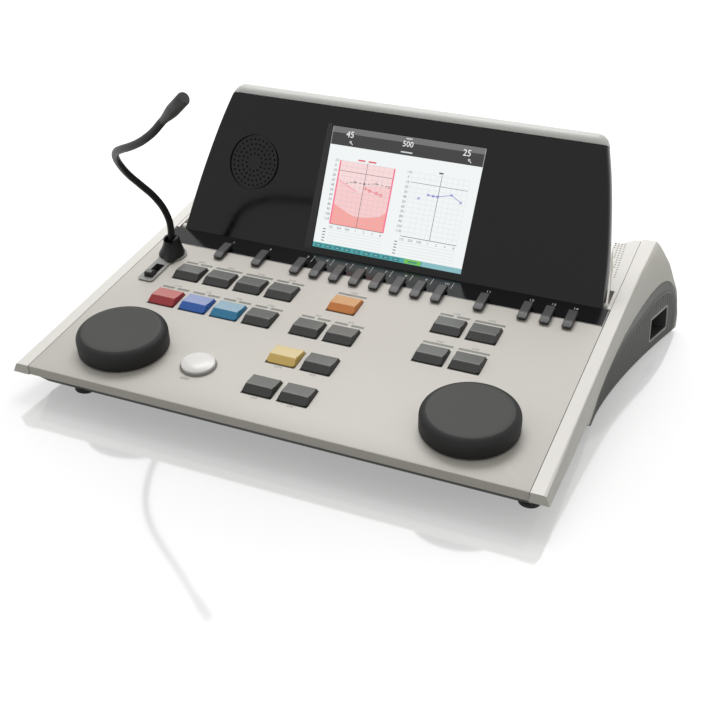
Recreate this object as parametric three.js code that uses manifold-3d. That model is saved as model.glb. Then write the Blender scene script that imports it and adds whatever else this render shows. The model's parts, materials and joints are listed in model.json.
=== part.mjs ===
// A desktop two-channel audiometer: a sloping control panel between two light side cheeks,
// a glossy tilting display with a loudspeaker, and a gooseneck microphone on a rubber boot.
// Lengths in millimetres. X points to the user's right, Y to the rear and Z up.
// The origin is on the table, under the middle of the footprint.
import * as THREE from 'three';
import { mergeVertices } from 'three/addons/utils/BufferGeometryUtils.js';
import { ConvexGeometry } from 'three/addons/geometries/ConvexGeometry.js';
import Module from 'manifold-3d';

const wasm = await Module();
wasm.setup();

// Shared clearances
const seatGap = 0.3;            // between pieces that rest on each other
const runGap = 0.4;             // round a key, a shaft or a knob that moves
const cutOverrun = 2;           // how far a cutter passes the face that it opens
const weld = 1e-4;              // points closer than this are one point

// Overall body
const topWidth = 354;           // across the outer top edges of the cheeks
const bodyDepth = 304;          // front lip to the foot of the rear face; the deck takes up a change
const slopeDeg = 9;             // slope of the control panel against the table
const lipTopHeight = 23.8;      // top front edge above the table
const lipDrop = 6.5;            // height of the front lip, square to the panel
const cheekTopWidth = 9;        // light band outside each parting line
const rearFall = 11.64;         // from the rear peak back to the rear foot
const skirtFoot = 2;            // lowest edge of the flared side above the table
const skirtFlare = 27;          // how far the side stands out at its rear foot
const peakFlare = 3;            // the same at the rear peak
const flareStart = 140;         // where the side starts to flare, from the front
const cheekUnderside = 13;      // lower edge of the cheek ahead of the grips
const prowLength = 60;          // over which that edge drops from the front lip
const skirtStep = 13;           // over which it then drops to the skirt's foot
const lipDraft = 3;             // how far the side leans out at the front corner
const cheekEdge = 1.2;          // rounding of the cheek's upper edges
const flarePower = 1.6;         // curve of the flare along the body
const sidePower = 2.2;          // curve of the flare up the side

// Side grips
const gripSkin = 3.5;           // thickness of the ribbed grip plate
const gripStart = 112;          // front tip of the grip, from the front lip
const gripRearInset = 2.5;
const gripPeak = 45.5;          // top of its arch above the table
const pocketRearInset = 53;     // front end of the finger pocket, ahead of the rear foot
const pocketLength = 31;
const pocketFoot = 10;
const pocketHeight = 17;
const pocketInset = 6;          // its floor, inside the cheeks' top edges

// Control panel
const plate = 3;                // thickness of panel, strip and deck plates
const panelLength = 173.4;      // front edge to the glossy strip
const stripLength = 21.1;       // glossy strip, along the slope
const stripRake = 1;            // its rear edge leans forward underneath

// Panel keys
const keyGap = 4.1;             // between two keys side by side
const keyDepth = 17.8;
const keyRidge = 3.7;           // height of the ridge above the panel
const keyRidgeInset = 6.8;      // ridge behind the front edge
const keySideInset = 1.3;
const keyRearHeight = 2;
const keyShoulder = 0.7;
const keyRoot = 3.9;            // how far a key reaches below the panel's face
const keyRows = 4;
const keyFrontRow = 33.7;       // middle of the front row, from the front edge
const keyRearMargin = 35.9;     // middle of the last row, ahead of the glossy strip

// Function keys
const fkeyWidth = 6.8;
const fkeyLength = 19.5;
const fkeyLead = 11.9;          // front end, ahead of the glossy strip
const fkeyLift = 1.2;           // underside above the panel
const fkeyTop = 3.8;
const fkeyTaper = 0.5;
const fkeyNose = 1.6;           // length of its slanted front
const fkeyTail = 0.8;
const fkeyStemWidth = 4;
const fkeyStemLength = 5;
const fkeyStemSetback = 13.6;   // stem behind the front end
const fkeyRoot = 4.5;

// Dials, tone button and slide switch
const dialRadius = 30.4;
const dialHeight = 13.2;
const dialShoulder = 4.6;
const dialLift = 0.8;
const dialV = 41.8;
const dialShaft = 4;
const dialShaftDepth = 10;
const toneRadius = 11.2;
const toneV = 39.9;
const toneCrown = 4.4;
const toneRim = 2.8;
const sliderShift = 1.5;        // left of the boot
const sliderLead = 31.1;        // ahead of the boot
const sliderWidth = 6.2;
const sliderLength = 7;
const sliderHeight = 4.6;
const sliderRear = 2.6;         // its top slopes down to this at the rear
const sliderTravel = 10.8;

// Microphone
const bootSetback = 16.7;       // ahead of the glossy strip
const bootRadius = 9.3;
const bootTopRadius = 6.6;
const bootHeight = 15.2;
const platelet = 0.8;           // escutcheon thickness
const plateletRadius = 10.4;
const plateletRingShift = 0.7;  // its ring, left of the boot
const plateletReach = 39.4;     // its front end, ahead of the boot
const plateletWidth = 12.2;     // of its tongue
const plateletShift = 1.8;      // its tongue, left of the boot
const plateletCorner = 2.6;
const neckPivot = 12.5;         // above the panel's face
const neckRootRadius = 3.3;
const neckRadius = 2.5;
const neckHeight = 116.9;       // pivot to the foot of the head
const bendGap = 0.35;
const headGap = 0.55;           // round the ball that the head turns on
const headRadius = 3.95;
const headLength = 26.8;
const headTilt = 49.9;          // from upright, degrees
const headTurn = -17.8;         // its heading, from the right towards the rear, degrees

// Display
const displaySideInset = 16;    // inside the cheeks' top edges
const displayShift = 1.3;        // the display sits a little right of the middle
const displayFace = 103;        // height of the flat face
const displayThickness = 16;
const displayAngle = 57.8;      // face against the panel at rest, degrees
const displayGap = 1;           // glossy strip to where the face meets the panel's plane
const displaySideRound = 3;
const displayCorner = 9;
const bezelDepth = 5;
const windowWidth = 115.2;
const windowHeight = 86.4;
const windowX = 2.3;            // window against the middle of the display
const windowFoot = 4.1;         // window above the bottom of the face
const lcdSink = 0.4;
const lcdDepth = 9.6;
const speakerInset = 48.7;      // from the display's left side
const speakerY = 56;
const speakerRadius = 18;
const speakerDepth = 7;
const hingePin = 3.5;
const hingePinLength = 7;

// Rear deck
const deckRearInset = 2;        // inside the cheeks' rear peaks
const deckWall = 2.5;
const recessDepth = 13.6;
const recessGap = 1;            // round the folded display

// Base
const trayWall = 2.5;
const trayFoot = 4;             // underside above the table
const trayProw = 14;            // length of the slanted front underside
const trayFront = 4.2;
const trayRearInset = 16;
const footRadius = 7;
const footLeftInset = 25;       // from the parting lines
const footRightInset = 4;
const footFrontY = 25;
const footRearSideInset = 20;
const footRearInset = 38;
const footChamfer = 1;
const boardGap = 1.5;           // below the keys, for their travel
const board = 1.6;
const boardStart = 14;
const boardUnderStrip = 12.6;   // it reaches this far under the glossy strip
const boardInset = 11.7;
const boardPost = 4;
const encoder = 8;
const encoderDepth = 3;
const socketPlateInset = 52;
const socketPlateHeight = 22;
const socketPlateFoot = 17;
const socketPlateDepth = 13;
const jackRadius = 3.3;
const jackDepth = 10;
const jackCount = 8;
const supplyRadius = 3.2;
const portWidth = 12;
const portHeight = 10.8;

// Round resolution, in sides
const coarse = 16;
const medium = 24;
const fine = 40;
const neckSides = 12;
const neckStepsPerPoint = 3;
const archSteps = 42;
const shoulderSteps = 5;
const edgeSteps = 8;

// Places across the panel, as shares of half the top width
const leftKeysShare = -0.696;   // first column of each block of keys
const middleKeysShare = -0.0802;
const rightKeysShare = 0.413;
const keyPitchShare = 0.1384;
const fkeyFirstShare = -0.2989;
const fkeyPitchShare = 0.0864;
const leftDialShare = -0.678;
const rightDialShare = 0.6729;
const toneShare = -0.356;
const bootShare = -0.835;
const jackPitchShare = 0.096;   // of the socket plate's width
const deckStartShare = 0.246;   // where the deck's flush side strips start, along the deck
const deckCornerShare = 0.859;  // where the strips' rear corners are cut off

// Sizes and places that follow from those above
const slope = THREE.MathUtils.degToRad(slopeDeg);
const halfTop = topWidth / 2;
const parting = halfTop - cheekTopWidth;
const innerHalf = parting - seatGap;
const frontY = -bodyDepth / 2;
const peakY = bodyDepth - rearFall;
const gripEnd = bodyDepth - gripRearInset;
const pocketStart = bodyDepth - pocketRearInset;
const pocketFloor = halfTop - pocketInset;
const stripEnd = panelLength + stripLength;
const keyPitchX = halfTop * keyPitchShare;
const keyPitchV = (panelLength - keyRearMargin - keyFrontRow) / (keyRows - 1);
const keyWidth = keyPitchX - keyGap;
const fkeyFront = panelLength - fkeyLead;
const fkeyFirstX = halfTop * fkeyFirstShare;
const fkeyPitch = halfTop * fkeyPitchShare;
const leftDialX = halfTop * leftDialShare;
const rightDialX = halfTop * rightDialShare;
const toneX = halfTop * toneShare;
const bootX = halfTop * bootShare;
const bootV = panelLength - bootSetback;
const plateletX = bootX - plateletShift;
const plateletFrontV = bootV - plateletReach;
const sliderX = bootX - sliderShift;
const sliderV = bootV - sliderLead;
const displayWidth = topWidth - 2 * displaySideInset;
const displayStart = stripEnd + displayGap;
const speakerX = speakerInset - displayWidth / 2;
const deckEnd = peakY / Math.cos(slope) - deckRearInset;
const deckStart = stripEnd + (deckEnd - stripEnd) * deckStartShare;
const deckCorner = stripEnd + (deckEnd - stripEnd) * deckCornerShare;
const trayRear = bodyDepth - trayRearInset;
const boardEnd = panelLength + boardUnderStrip;
const boardHalfWidth = innerHalf - boardInset;
const socketPlateWidth = topWidth - 2 * socketPlateInset;
const jackPitch = socketPlateWidth * jackPitchShare;

const colours = {
  light: [0xdedbd2, 0.45, 0], cheek: [0xe6e3da, 0.42, 0], dark: [0x2b2c2c, 0.6, 0],
  key: [0x3a3c3b, 0.5, 0], gloss: [0x0b0b0c, 0.12, 0], grip: [0x4b4d4a, 0.65, 0],
  rubber: [0x1a1a1a, 0.8, 0], grey: [0x8b8c8a, 0.5, 0], white: [0xf2f1ee, 0.4, 0],
  red: [0xc0272d, 0.45, 0], blue: [0x2f5fae, 0.45, 0], teal: [0x2b7fc4, 0.45, 0],
  orange: [0xe08a1e, 0.45, 0], yellow: [0xe9b92c, 0.45, 0], screen: [0xdfe8e8, 0.25, 0],
  board: [0x2c5a3c, 0.5, 0], foot: [0x141414, 0.9, 0],
};

// Geometry helpers
function toSolid(geometry) {
  const g = geometry.clone();
  for (const name of Object.keys(g.attributes)) {
    if (name !== 'position') g.deleteAttribute(name);
  }
  const merged = mergeVertices(g, weld);
  return new wasm.Manifold(new wasm.Mesh({
    numProp: 3,
    vertProperties: new Float32Array(merged.attributes.position.array),
    triVerts: new Uint32Array(merged.index.array),
  }));
}

function toGeometry(solid) {
  const mesh = solid.getMesh();
  const g = new THREE.BufferGeometry();
  g.setAttribute('position', new THREE.BufferAttribute(new Float32Array(mesh.vertProperties), 3));
  g.setIndex(new THREE.BufferAttribute(new Uint32Array(mesh.triVerts), 1));
  g.computeVertexNormals();
  return g;
}

const cut = (geometry, ...cutters) => {
  let solid = toSolid(geometry);
  for (const cutter of cutters) solid = solid.subtract(toSolid(cutter));
  return toGeometry(solid);
};

const join = (...pieces) => {
  let solid = toSolid(pieces[0]);
  for (const piece of pieces.slice(1)) solid = solid.add(toSolid(piece));
  return toGeometry(solid);
};

const common = (a, b) => toGeometry(toSolid(a).intersect(toSolid(b)));

function box(x0, x1, y0, y1, z0, z1) {
  const g = new THREE.BoxGeometry(x1 - x0, y1 - y0, z1 - z0);
  return g.translate((x0 + x1) / 2, (y0 + y1) / 2, (z0 + z1) / 2);
}

function outline(points) {
  return new THREE.Shape(points.map(([a, b]) => new THREE.Vector2(a, b)));
}

// A prism of (x, y) points from z0 up to z1.
function prism(points, z0, z1) {
  const g = new THREE.ExtrudeGeometry(outline(points), { depth: z1 - z0, bevelEnabled: false });
  return g.translate(0, 0, z0);
}

// A prism of (y, z) points from x0 to x1.
function prismX(points, x0, x1) {
  const g = new THREE.ExtrudeGeometry(outline(points), { depth: x1 - x0, bevelEnabled: false });
  const turn = new THREE.Matrix4().makeBasis(
    new THREE.Vector3(0, 1, 0), new THREE.Vector3(0, 0, 1), new THREE.Vector3(1, 0, 0));
  return g.applyMatrix4(turn).translate(x0, 0, 0);
}

// A round bar along Z from z0 to z1.
function bar(x, y, radius, z0, z1, sides) {
  const g = new THREE.CylinderGeometry(radius, radius, z1 - z0, sides).rotateX(Math.PI / 2);
  return g.translate(x, y, (z0 + z1) / 2);
}

// A turned body about Z; profile points are (radius, z), starting and ending on the axis.
function turned(points, sides) {
  return new THREE.LatheGeometry(points.map(([r, z]) => new THREE.Vector2(r, z)), sides)
    .rotateX(Math.PI / 2);
}

const signedVolume = (g) => {
  const p = g.attributes.position, i = g.index.array;
  const a = new THREE.Vector3(), b = new THREE.Vector3(), c = new THREE.Vector3();
  let sum = 0;
  for (let k = 0; k < i.length; k += 3) {
    a.fromBufferAttribute(p, i[k]);
    b.fromBufferAttribute(p, i[k + 1]);
    c.fromBufferAttribute(p, i[k + 2]);
    sum += a.dot(b.cross(c));
  }
  return sum;
};

function flipped(g) {
  const i = g.index.array;
  for (let k = 0; k < i.length; k += 3) [i[k + 1], i[k + 2]] = [i[k + 2], i[k + 1]];
  return g;
}

// A closed body through rings that all have the same number of points.
function loft(rings) {
  const n = rings[0].length, position = [], index = [];
  for (const ring of rings) for (const p of ring) position.push(p.x, p.y, p.z);
  for (let r = 0; r + 1 < rings.length; r++) {
    for (let k = 0; k < n; k++) {
      const a = r * n + k, b = r * n + (k + 1) % n;
      index.push(a, b, b + n, a, b + n, a + n);
    }
  }
  for (const [r, side] of [[0, -1], [rings.length - 1, 1]]) {
    const ring = rings[r], normal = new THREE.Vector3();
    for (let k = 0; k < n; k++) normal.add(new THREE.Vector3().crossVectors(ring[k], ring[(k + 1) % n]));
    normal.normalize();
    const u = new THREE.Vector3().subVectors(ring[1], ring[0]).normalize();
    const v = new THREE.Vector3().crossVectors(normal, u);
    const flat = ring.map((p) => new THREE.Vector2(p.dot(u), p.dot(v)));
    for (const [a, b, c] of THREE.ShapeUtils.triangulateShape(flat, [])) {
      const turn = flat[b].clone().sub(flat[a]).cross(flat[c].clone().sub(flat[a]));
      const face = turn > 0 === side > 0 ? [a, b, c] : [a, c, b];
      index.push(...face.map((k) => r * n + k));
    }
  }
  const g = new THREE.BufferGeometry();
  g.setAttribute('position', new THREE.BufferAttribute(new Float32Array(position), 3));
  g.setIndex(index);
  return signedVolume(g) < 0 ? flipped(g) : g;
}

const hull = (points) => new ConvexGeometry(points.map(([x, y, z]) => new THREE.Vector3(x, y, z)));

function mirroredX(geometry) {
  const g = geometry.clone().scale(-1, 1, 1);
  return flipped(g);
}

function part(name, geometry, look, parent) {
  const [color, roughness, metalness] = colours[look];
  const mesh = new THREE.Mesh(geometry, new THREE.MeshStandardMaterial({ color, roughness, metalness }));
  mesh.name = name;
  parent.add(mesh);
  return mesh;
}

// The frames: the body stands level, the panel frame lies in the sloping face with
// X across, Y up the slope and Z square out of it, from the top front edge.
const audiometer = new THREE.Group();
const panelFrame = new THREE.Group();
panelFrame.position.set(0, frontY, lipTopHeight);
panelFrame.rotation.x = slope;
audiometer.add(panelFrame);

// Height of the panel's plane above the table at a distance y behind the front edge.
const planeHeight = (y) => lipTopHeight + y * Math.tan(slope);

// Side cheeks and grips
// Stations run from the front lip to the rear; each has its top height.
const frontStationShares = [0, 0.2, 0.54, 0.96, 1.12];
const flareStationShares = [0, 0.12, 0.24, 0.37, 0.5, 0.63, 0.76, 0.89];
const rearFallShares = [[0, 1], [0.25, 0.95], [0.5, 0.81], [0.75, 0.5], [0.92, 0.2], [1, 0.1]];
const stations = [
  ...frontStationShares.map((share) => gripStart * share),
  ...flareStationShares.map((share) => flareStart + (peakY - flareStart) * share),
].map((y) => [y, planeHeight(y)]);
for (const [alongShare, heightShare] of rearFallShares) {
  stations.push([peakY + (bodyDepth - peakY) * alongShare, planeHeight(peakY) * heightShare]);
}

function footHeight(y) {
  const frontFoot = lipTopHeight - lipDrop * Math.cos(slope);
  if (y < gripStart) return frontFoot + (cheekUnderside - frontFoot) * Math.min(1, y / prowLength);
  return skirtFoot + (cheekUnderside - skirtFoot) * Math.max(0, 1 - (y - gripStart) / skirtStep);
}

const spread = (y) => Math.max(0, (y - flareStart) / (bodyDepth - flareStart)) ** flarePower;

// Half width of the side at a distance y from the front, at a share of its height.
function sideHalf(y, heightShare, depth) {
  const foot = halfTop + skirtFlare * spread(y), top = halfTop + peakFlare * spread(y) ** 2;
  const draft = lipDraft * Math.max(0, 1 - y / flareStart) * Math.min(1, depth / lipDrop);
  return foot + (top - foot) * heightShare ** sidePower + draft;
}

const edgeShare = 0.3;          // middle point of a rounded edge
const sideShares = [0.93, 0.84, 0.72, 0.58, 0.42, 0.24, 0.1, 0];

function sideBody(inset) {
  return loft(stations.map(([y, topHeight]) => {
    const foot = footHeight(y), rise = topHeight - foot;
    const full = planeHeight(Math.min(y, peakY)) - foot;
    const at = (z) => sideHalf(y, (z - foot) / full, topHeight - z) - inset;
    const ring = [[parting, topHeight], [at(topHeight) - cheekEdge, topHeight],
      [at(topHeight) - cheekEdge * edgeShare, topHeight - cheekEdge * edgeShare],
      ...sideShares.map((share) => [at(foot + rise * share), foot + rise * share]),
      [parting, foot]];
    return ring.map(([x, z]) => new THREE.Vector3(x, y + frontY, z));
  }));
}

// Arch of the grip in side view: shares of its length and of its peak.
const archShares = [[0, 0.1], [0.06, 0.18], [0.13, 0.3], [0.2, 0.44], [0.27, 0.57], [0.34, 0.68],
  [0.42, 0.78], [0.52, 0.86], [0.64, 0.93], [0.76, 0.985], [0.84, 1], [0.9, 0.985], [0.945, 0.92],
  [0.975, 0.8], [0.992, 0.62], [1, 0.4]];

function archPrism(grow) {
  const length = gripEnd - gripStart, foot = -cutOverrun;
  const points = new THREE.SplineCurve(archShares.map(([along, up]) => new THREE.Vector2(
    frontY + gripStart + along * length, up * gripPeak))).getPoints(archSteps).map(({ x, y }) => [x, y]);
  const last = points.length - 1;
  const grown = points.map(([y, z], i) => {
    const [y0, z0] = points[Math.max(i - 1, 0)], [y1, z1] = points[Math.min(i + 1, last)];
    const run = Math.hypot(y1 - y0, z1 - z0);
    return [y - grow * (z1 - z0) / run, z + grow * (y1 - y0) / run];
  });
  grown.push([grown[last][0], foot], [grown[0][0], foot]);
  return prismX(grown.reverse(), parting, halfTop + skirtFlare + cutOverrun);
}

const pocket = box(pocketFloor, halfTop + skirtFlare + cutOverrun, frontY + pocketStart,
  frontY + pocketStart + pocketLength, pocketFoot, pocketFoot + pocketHeight);
const sideWhole = sideBody(0);
const cheekShape = cut(cut(sideWhole, cut(archPrism(seatGap), sideBody(gripSkin + seatGap))), pocket);
const gripShape = cut(cut(common(archPrism(0), sideWhole), sideBody(gripSkin)), pocket);
part('right_cheek', cheekShape, 'cheek', audiometer);
part('left_cheek', mirroredX(cheekShape), 'cheek', audiometer);
part('right_side_grip', gripShape, 'grip', audiometer);
part('left_side_grip', mirroredX(gripShape), 'grip', audiometer);

// Panel keys: name, block, column, row, colour
const blockX = {
  left: halfTop * leftKeysShare, middle: halfTop * middleKeysShare, right: halfTop * rightKeysShare,
};
const keys = [
  ['key_top_1', 'left', 0, 3, 'key'], ['key_top_2', 'left', 1, 3, 'key'],
  ['key_top_3', 'left', 2, 3, 'key'], ['key_top_4', 'left', 3, 3, 'key'],
  ['key_red', 'left', 0, 2, 'red'], ['key_blue', 'left', 1, 2, 'blue'],
  ['key_light_blue', 'left', 2, 2, 'teal'], ['key_second_4', 'left', 3, 2, 'key'],
  ['key_orange', 'middle', 0.5, 3, 'orange'],
  ['key_middle_left', 'middle', 0, 2, 'key'], ['key_middle_right', 'middle', 1, 2, 'key'],
  ['key_yellow', 'middle', 0, 1, 'yellow'], ['key_lower_right', 'middle', 1, 1, 'key'],
  ['key_front_left', 'middle', 0, 0, 'key'], ['key_front_right', 'middle', 1, 0, 'key'],
  ['key_right_1', 'right', 0, 3, 'key'], ['key_right_2', 'right', 1, 3, 'key'],
  ['key_right_3', 'right', 0, 2, 'key'], ['key_right_4', 'right', 1, 2, 'key'],
].map(([name, block, column, row, look]) => ({
  name, look, x: blockX[block] + column * keyPitchX, v: keyFrontRow + row * keyPitchV,
}));

const keyShape = (() => {
  const w = keyWidth / 2, d = keyDepth / 2, points = [];
  for (const side of [-1, 1]) {
    for (const end of [-1, 1]) {
      points.push([side * w, end * d, -keyRoot], [side * w, end * d, keyShoulder]);
    }
    points.push([side * (w - keySideInset), keyRidgeInset - d, keyRidge]);
    points.push([side * (w - keySideInset), d - keyShoulder, keyRearHeight]);
  }
  return hull(points);
})();
for (const { name, look, x, v } of keys) {
  part(name, keyShape.clone(), look, panelFrame).position.set(x, v, 0);
}

// Function keys, by column
const fkeyColumns = [-4, -2, 0, 1, 2, 3, 4, 5, 6, 7, 9, 11, 12, 13];
const fkeyStem = fkeyFront + fkeyStemSetback;
const fkeyShape = (() => {
  const w = fkeyWidth / 2, points = [];
  for (const side of [-1, 1]) {
    points.push([side * w, 0, fkeyLift], [side * w, fkeyLength, fkeyLift]);
    points.push([side * (w - fkeyTaper), fkeyNose, fkeyTop]);
    points.push([side * (w - fkeyTaper), fkeyLength - fkeyTail, fkeyTop]);
  }
  const stem = box(-fkeyStemWidth / 2, fkeyStemWidth / 2, fkeyStemSetback,
    fkeyStemSetback + fkeyStemLength, -fkeyRoot, fkeyLift + fkeyTaper);
  return join(hull(points), stem);
})();
fkeyColumns.forEach((column, i) => {
  const key = part(`function_key_${i + 1}`, fkeyShape.clone(), 'key', panelFrame);
  key.position.set(fkeyFirstX + column * fkeyPitch, fkeyFront, 0);
});

// Dials, tone button and slide switch
const dialShape = (() => {
  const top = dialLift + dialHeight, points = [[0, -dialShaftDepth], [dialShaft, -dialShaftDepth],
    [dialShaft, dialLift], [dialRadius - cheekEdge / 2, dialLift], [dialRadius, dialLift + cheekEdge / 2]];
  for (let step = 0; step <= shoulderSteps; step++) {
    const turn = step / shoulderSteps * Math.PI / 2;
    points.push([dialRadius - dialShoulder + dialShoulder * Math.cos(turn),
      top - dialShoulder + dialShoulder * Math.sin(turn)]);
  }
  return turned([...points, [0, top]], fine);
})();
part('left_dial', dialShape.clone(), 'dark', panelFrame).position.set(leftDialX, dialV, 0);
part('right_dial', dialShape.clone(), 'dark', panelFrame).position.set(rightDialX, dialV, 0);

const toneCrownShares = [0.96, 0.85, 0.65, 0.4];
const toneCrownPower = 3;
const toneShape = (() => {
  const points = [[0, -keyRoot], [toneRadius, -keyRoot], [toneRadius, toneRim]];
  for (const share of toneCrownShares) {
    points.push([toneRadius * share, toneRim + (toneCrown - toneRim) * (1 - share ** toneCrownPower)]);
  }
  return turned([...points, [0, toneCrown]], fine);
})();
part('tone_button', toneShape, 'white', panelFrame).position.set(toneX, toneV, 0);

const sliderShape = (() => {
  const w = sliderWidth / 2, d = sliderLength / 2;
  return hull([-1, 1].flatMap((side) => [
    [side * w, -d, -keyRoot], [side * w, d, -keyRoot], [side * w, -d, sliderHeight - keyShoulder],
    [side * (w - keyShoulder), keyShoulder - d, sliderHeight], [side * (w - keyShoulder), 0, sliderHeight],
    [side * w, d, sliderRear]]));
})();
part('talk_slider', sliderShape, 'key', panelFrame).position.set(sliderX, sliderV, 0);

const sliderSlot = (z0, z1) => box(sliderX - sliderWidth / 2 - runGap, sliderX + sliderWidth / 2 + runGap,
  sliderV - sliderLength / 2 - runGap, sliderV + sliderLength / 2 + sliderTravel + runGap, z0, z1);

// Panel plate with its front lip
const panelProfile = [[0, -lipDrop], [plate, -lipDrop], [plate, -plate],
  [panelLength - seatGap / 2, -plate], [panelLength - seatGap / 2, 0], [cheekEdge, 0],
  [cheekEdge * edgeShare, -cheekEdge * edgeShare], [0, -cheekEdge]];
const panelHoles = [
  ...keys.map(({ x, v }) => box(x - keyWidth / 2 - runGap, x + keyWidth / 2 + runGap,
    v - keyDepth / 2 - runGap, v + keyDepth / 2 + runGap, -plate - cutOverrun, cutOverrun)),
  bar(leftDialX, dialV, dialShaft + runGap, -plate - cutOverrun, cutOverrun, medium),
  bar(rightDialX, dialV, dialShaft + runGap, -plate - cutOverrun, cutOverrun, medium),
  bar(toneX, toneV, toneRadius + runGap, -plate - cutOverrun, cutOverrun, fine),
  sliderSlot(-plate - cutOverrun, cutOverrun),
];
part('control_panel', cut(prismX(panelProfile, -innerHalf, innerHalf), ...panelHoles), 'light',
  panelFrame);

// Glossy strip behind it
const stripStart = panelLength + seatGap / 2;
const stripHoles = fkeyColumns.map((column) => {
  const x = fkeyFirstX + column * fkeyPitch;
  return box(x - fkeyStemWidth / 2 - runGap, x + fkeyStemWidth / 2 + runGap, fkeyStem - runGap,
    fkeyStem + fkeyStemLength + runGap, -plate - cutOverrun, cutOverrun);
});
const stripProfile = [[stripStart, -plate], [stripEnd - stripRake, -plate], [stripEnd, 0],
  [stripStart, 0]];
part('function_strip', cut(prismX(stripProfile, -innerHalf, innerHalf), ...stripHoles), 'gloss',
  panelFrame);

// Microphone escutcheon and boot
const escutcheon = (() => {
  const half = plateletWidth / 2, w = half - plateletCorner, top = seatGap + platelet;
  const corner = (side, start) => Array.from({ length: coarse + 1 }, (_, k) => {
    const turn = start + k / coarse * Math.PI / 2;
    return [plateletX + side * w + plateletCorner * Math.cos(turn),
      plateletFrontV + plateletCorner * (1 + Math.sin(turn))];
  });
  const tongue = prism([...corner(-1, Math.PI), ...corner(1, Math.PI * 3 / 2),
    [plateletX + half, bootV], [plateletX - half, bootV]], seatGap, top);
  return cut(join(tongue, bar(bootX - plateletRingShift, bootV, plateletRadius, seatGap, top, fine)),
    sliderSlot(-cutOverrun, cutOverrun));
})();
part('mic_escutcheon', escutcheon, 'grey', panelFrame);

const bootFoot = platelet + 2 * seatGap;
const bootShares = [[1, 0], [1, 0.06], [0.94, 0.14], [0.89, 0.3], [0.8, 0.6]];
const bootBody = turned([[0, bootFoot], ...bootShares.map(([wide, up]) => [
  bootRadius * wide, bootFoot + (bootHeight - bootFoot) * up]), [bootTopRadius, bootHeight - seatGap],
  [bootTopRadius - seatGap, bootHeight], [0, bootHeight]], medium);
const bootSlot = box(-neckRootRadius - seatGap, neckRootRadius + seatGap,
  -bootRadius - cutOverrun, bootRadius + cutOverrun,
  neckPivot - neckRootRadius - runGap, bootHeight + cutOverrun);
part('mic_boot', cut(bootBody, bootSlot), 'rubber', panelFrame).position.set(bootX, bootV, 0);

// Gooseneck: it rises from the boot towards the user, then turns right.
const pivot = new THREE.Vector3(bootX, bootV, neckPivot)
  .applyEuler(new THREE.Euler(slope, 0, 0)).add(panelFrame.position);
const neckFrame = new THREE.Group();
neckFrame.position.copy(pivot);
audiometer.add(neckFrame);

// Centre line from the pivot, as shares of the neck's height.
const lowerShares = [[0, 0, 0], [0.006, -0.021, 0.12], [-0.007, -0.065, 0.225],
  [-0.03, -0.133, 0.319], [-0.055, -0.222, 0.406], [-0.068, -0.317, 0.489],
  [-0.058, -0.409, 0.572], [-0.024, -0.497, 0.648], [0.039, -0.579, 0.708]];
const upperShares = [[0.039, -0.579, 0.708], [0.126, -0.654, 0.754], [0.224, -0.717, 0.798],
  [0.327, -0.769, 0.852], [0.426, -0.811, 0.921], [0.514, -0.848, 1]];
const neckPoint = (share) => new THREE.Vector3(...share).multiplyScalar(neckHeight);

function neckTube(shares) {
  const path = new THREE.CatmullRomCurve3(shares.map(neckPoint));
  const section = outline(Array.from({ length: neckSides }, (_, k) => {
    const turn = k / neckSides * 2 * Math.PI;
    return [neckRadius * Math.cos(turn), neckRadius * Math.sin(turn)];
  }));
  const steps = shares.length * neckStepsPerPoint;
  return new THREE.ExtrudeGeometry(section, { steps, extrudePath: path });
}

const ball = (radius, share) => new THREE.SphereGeometry(radius, coarse, coarse / 2)
  .rotateX(Math.PI / 2).translate(...neckPoint(share).toArray());
const elbow = upperShares[0], crown = upperShares[upperShares.length - 1];
part('neck_lower', join(neckTube(lowerShares), ball(neckRootRadius, lowerShares[0]),
  ball(neckRadius, elbow)), 'rubber', neckFrame);
part('neck_upper', join(cut(neckTube(upperShares), ball(neckRadius + bendGap, elbow)),
  ball(neckRadius, crown)), 'rubber', neckFrame);

const headFrame = new THREE.Group();
headFrame.position.copy(neckPoint(crown));
headFrame.rotation.set(0, THREE.MathUtils.degToRad(headTilt), THREE.MathUtils.degToRad(headTurn), 'ZYX');
neckFrame.add(headFrame);
// Radius against the head's own, and place along its length.
const headShares = [[0.62, 0], [0.66, 0.1], [0.93, 0.36], [1, 0.48]];
const headShape = cut(turned([[0, 0], ...headShares.map(([wide, along]) => [
  headRadius * wide, headLength * along]), [headRadius, headLength - seatGap],
[headRadius - seatGap, headLength], [0, headLength]], medium),
new THREE.SphereGeometry(neckRadius + headGap, coarse, coarse / 2).rotateX(Math.PI / 2));
part('mic_head', headShape, 'rubber', headFrame);

// Display: its frame sits on the hinge axis, Y up the face and Z out of the face.
const displayHalf = displayThickness / 2;
const displayTurn = THREE.MathUtils.degToRad(displayAngle);
const hingeV = displayStart + displayHalf * Math.sin(displayTurn);
const hingeN = -displayHalf * Math.cos(displayTurn);
const displayFrame = new THREE.Group();
displayFrame.position.set(displayShift, hingeV, hingeN);
displayFrame.rotation.x = displayTurn;
panelFrame.add(displayFrame);

// Half width up the face, as shares of the half width at the bottom.
const sideTaperShares = [[0, 1], [0.2, 0.99], [0.42, 0.966], [0.64, 0.936], [0.82, 0.907],
  [0.92, 0.887], [1, 0.87]];
const sideTaper = (share) => {
  const next = Math.max(1, sideTaperShares.findIndex(([at]) => at >= share));
  const [[below, wideBelow], [above, wideAbove]] = sideTaperShares.slice(next - 1, next + 1);
  return wideBelow + (wideAbove - wideBelow) * (share - below) / (above - below);
};

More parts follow.
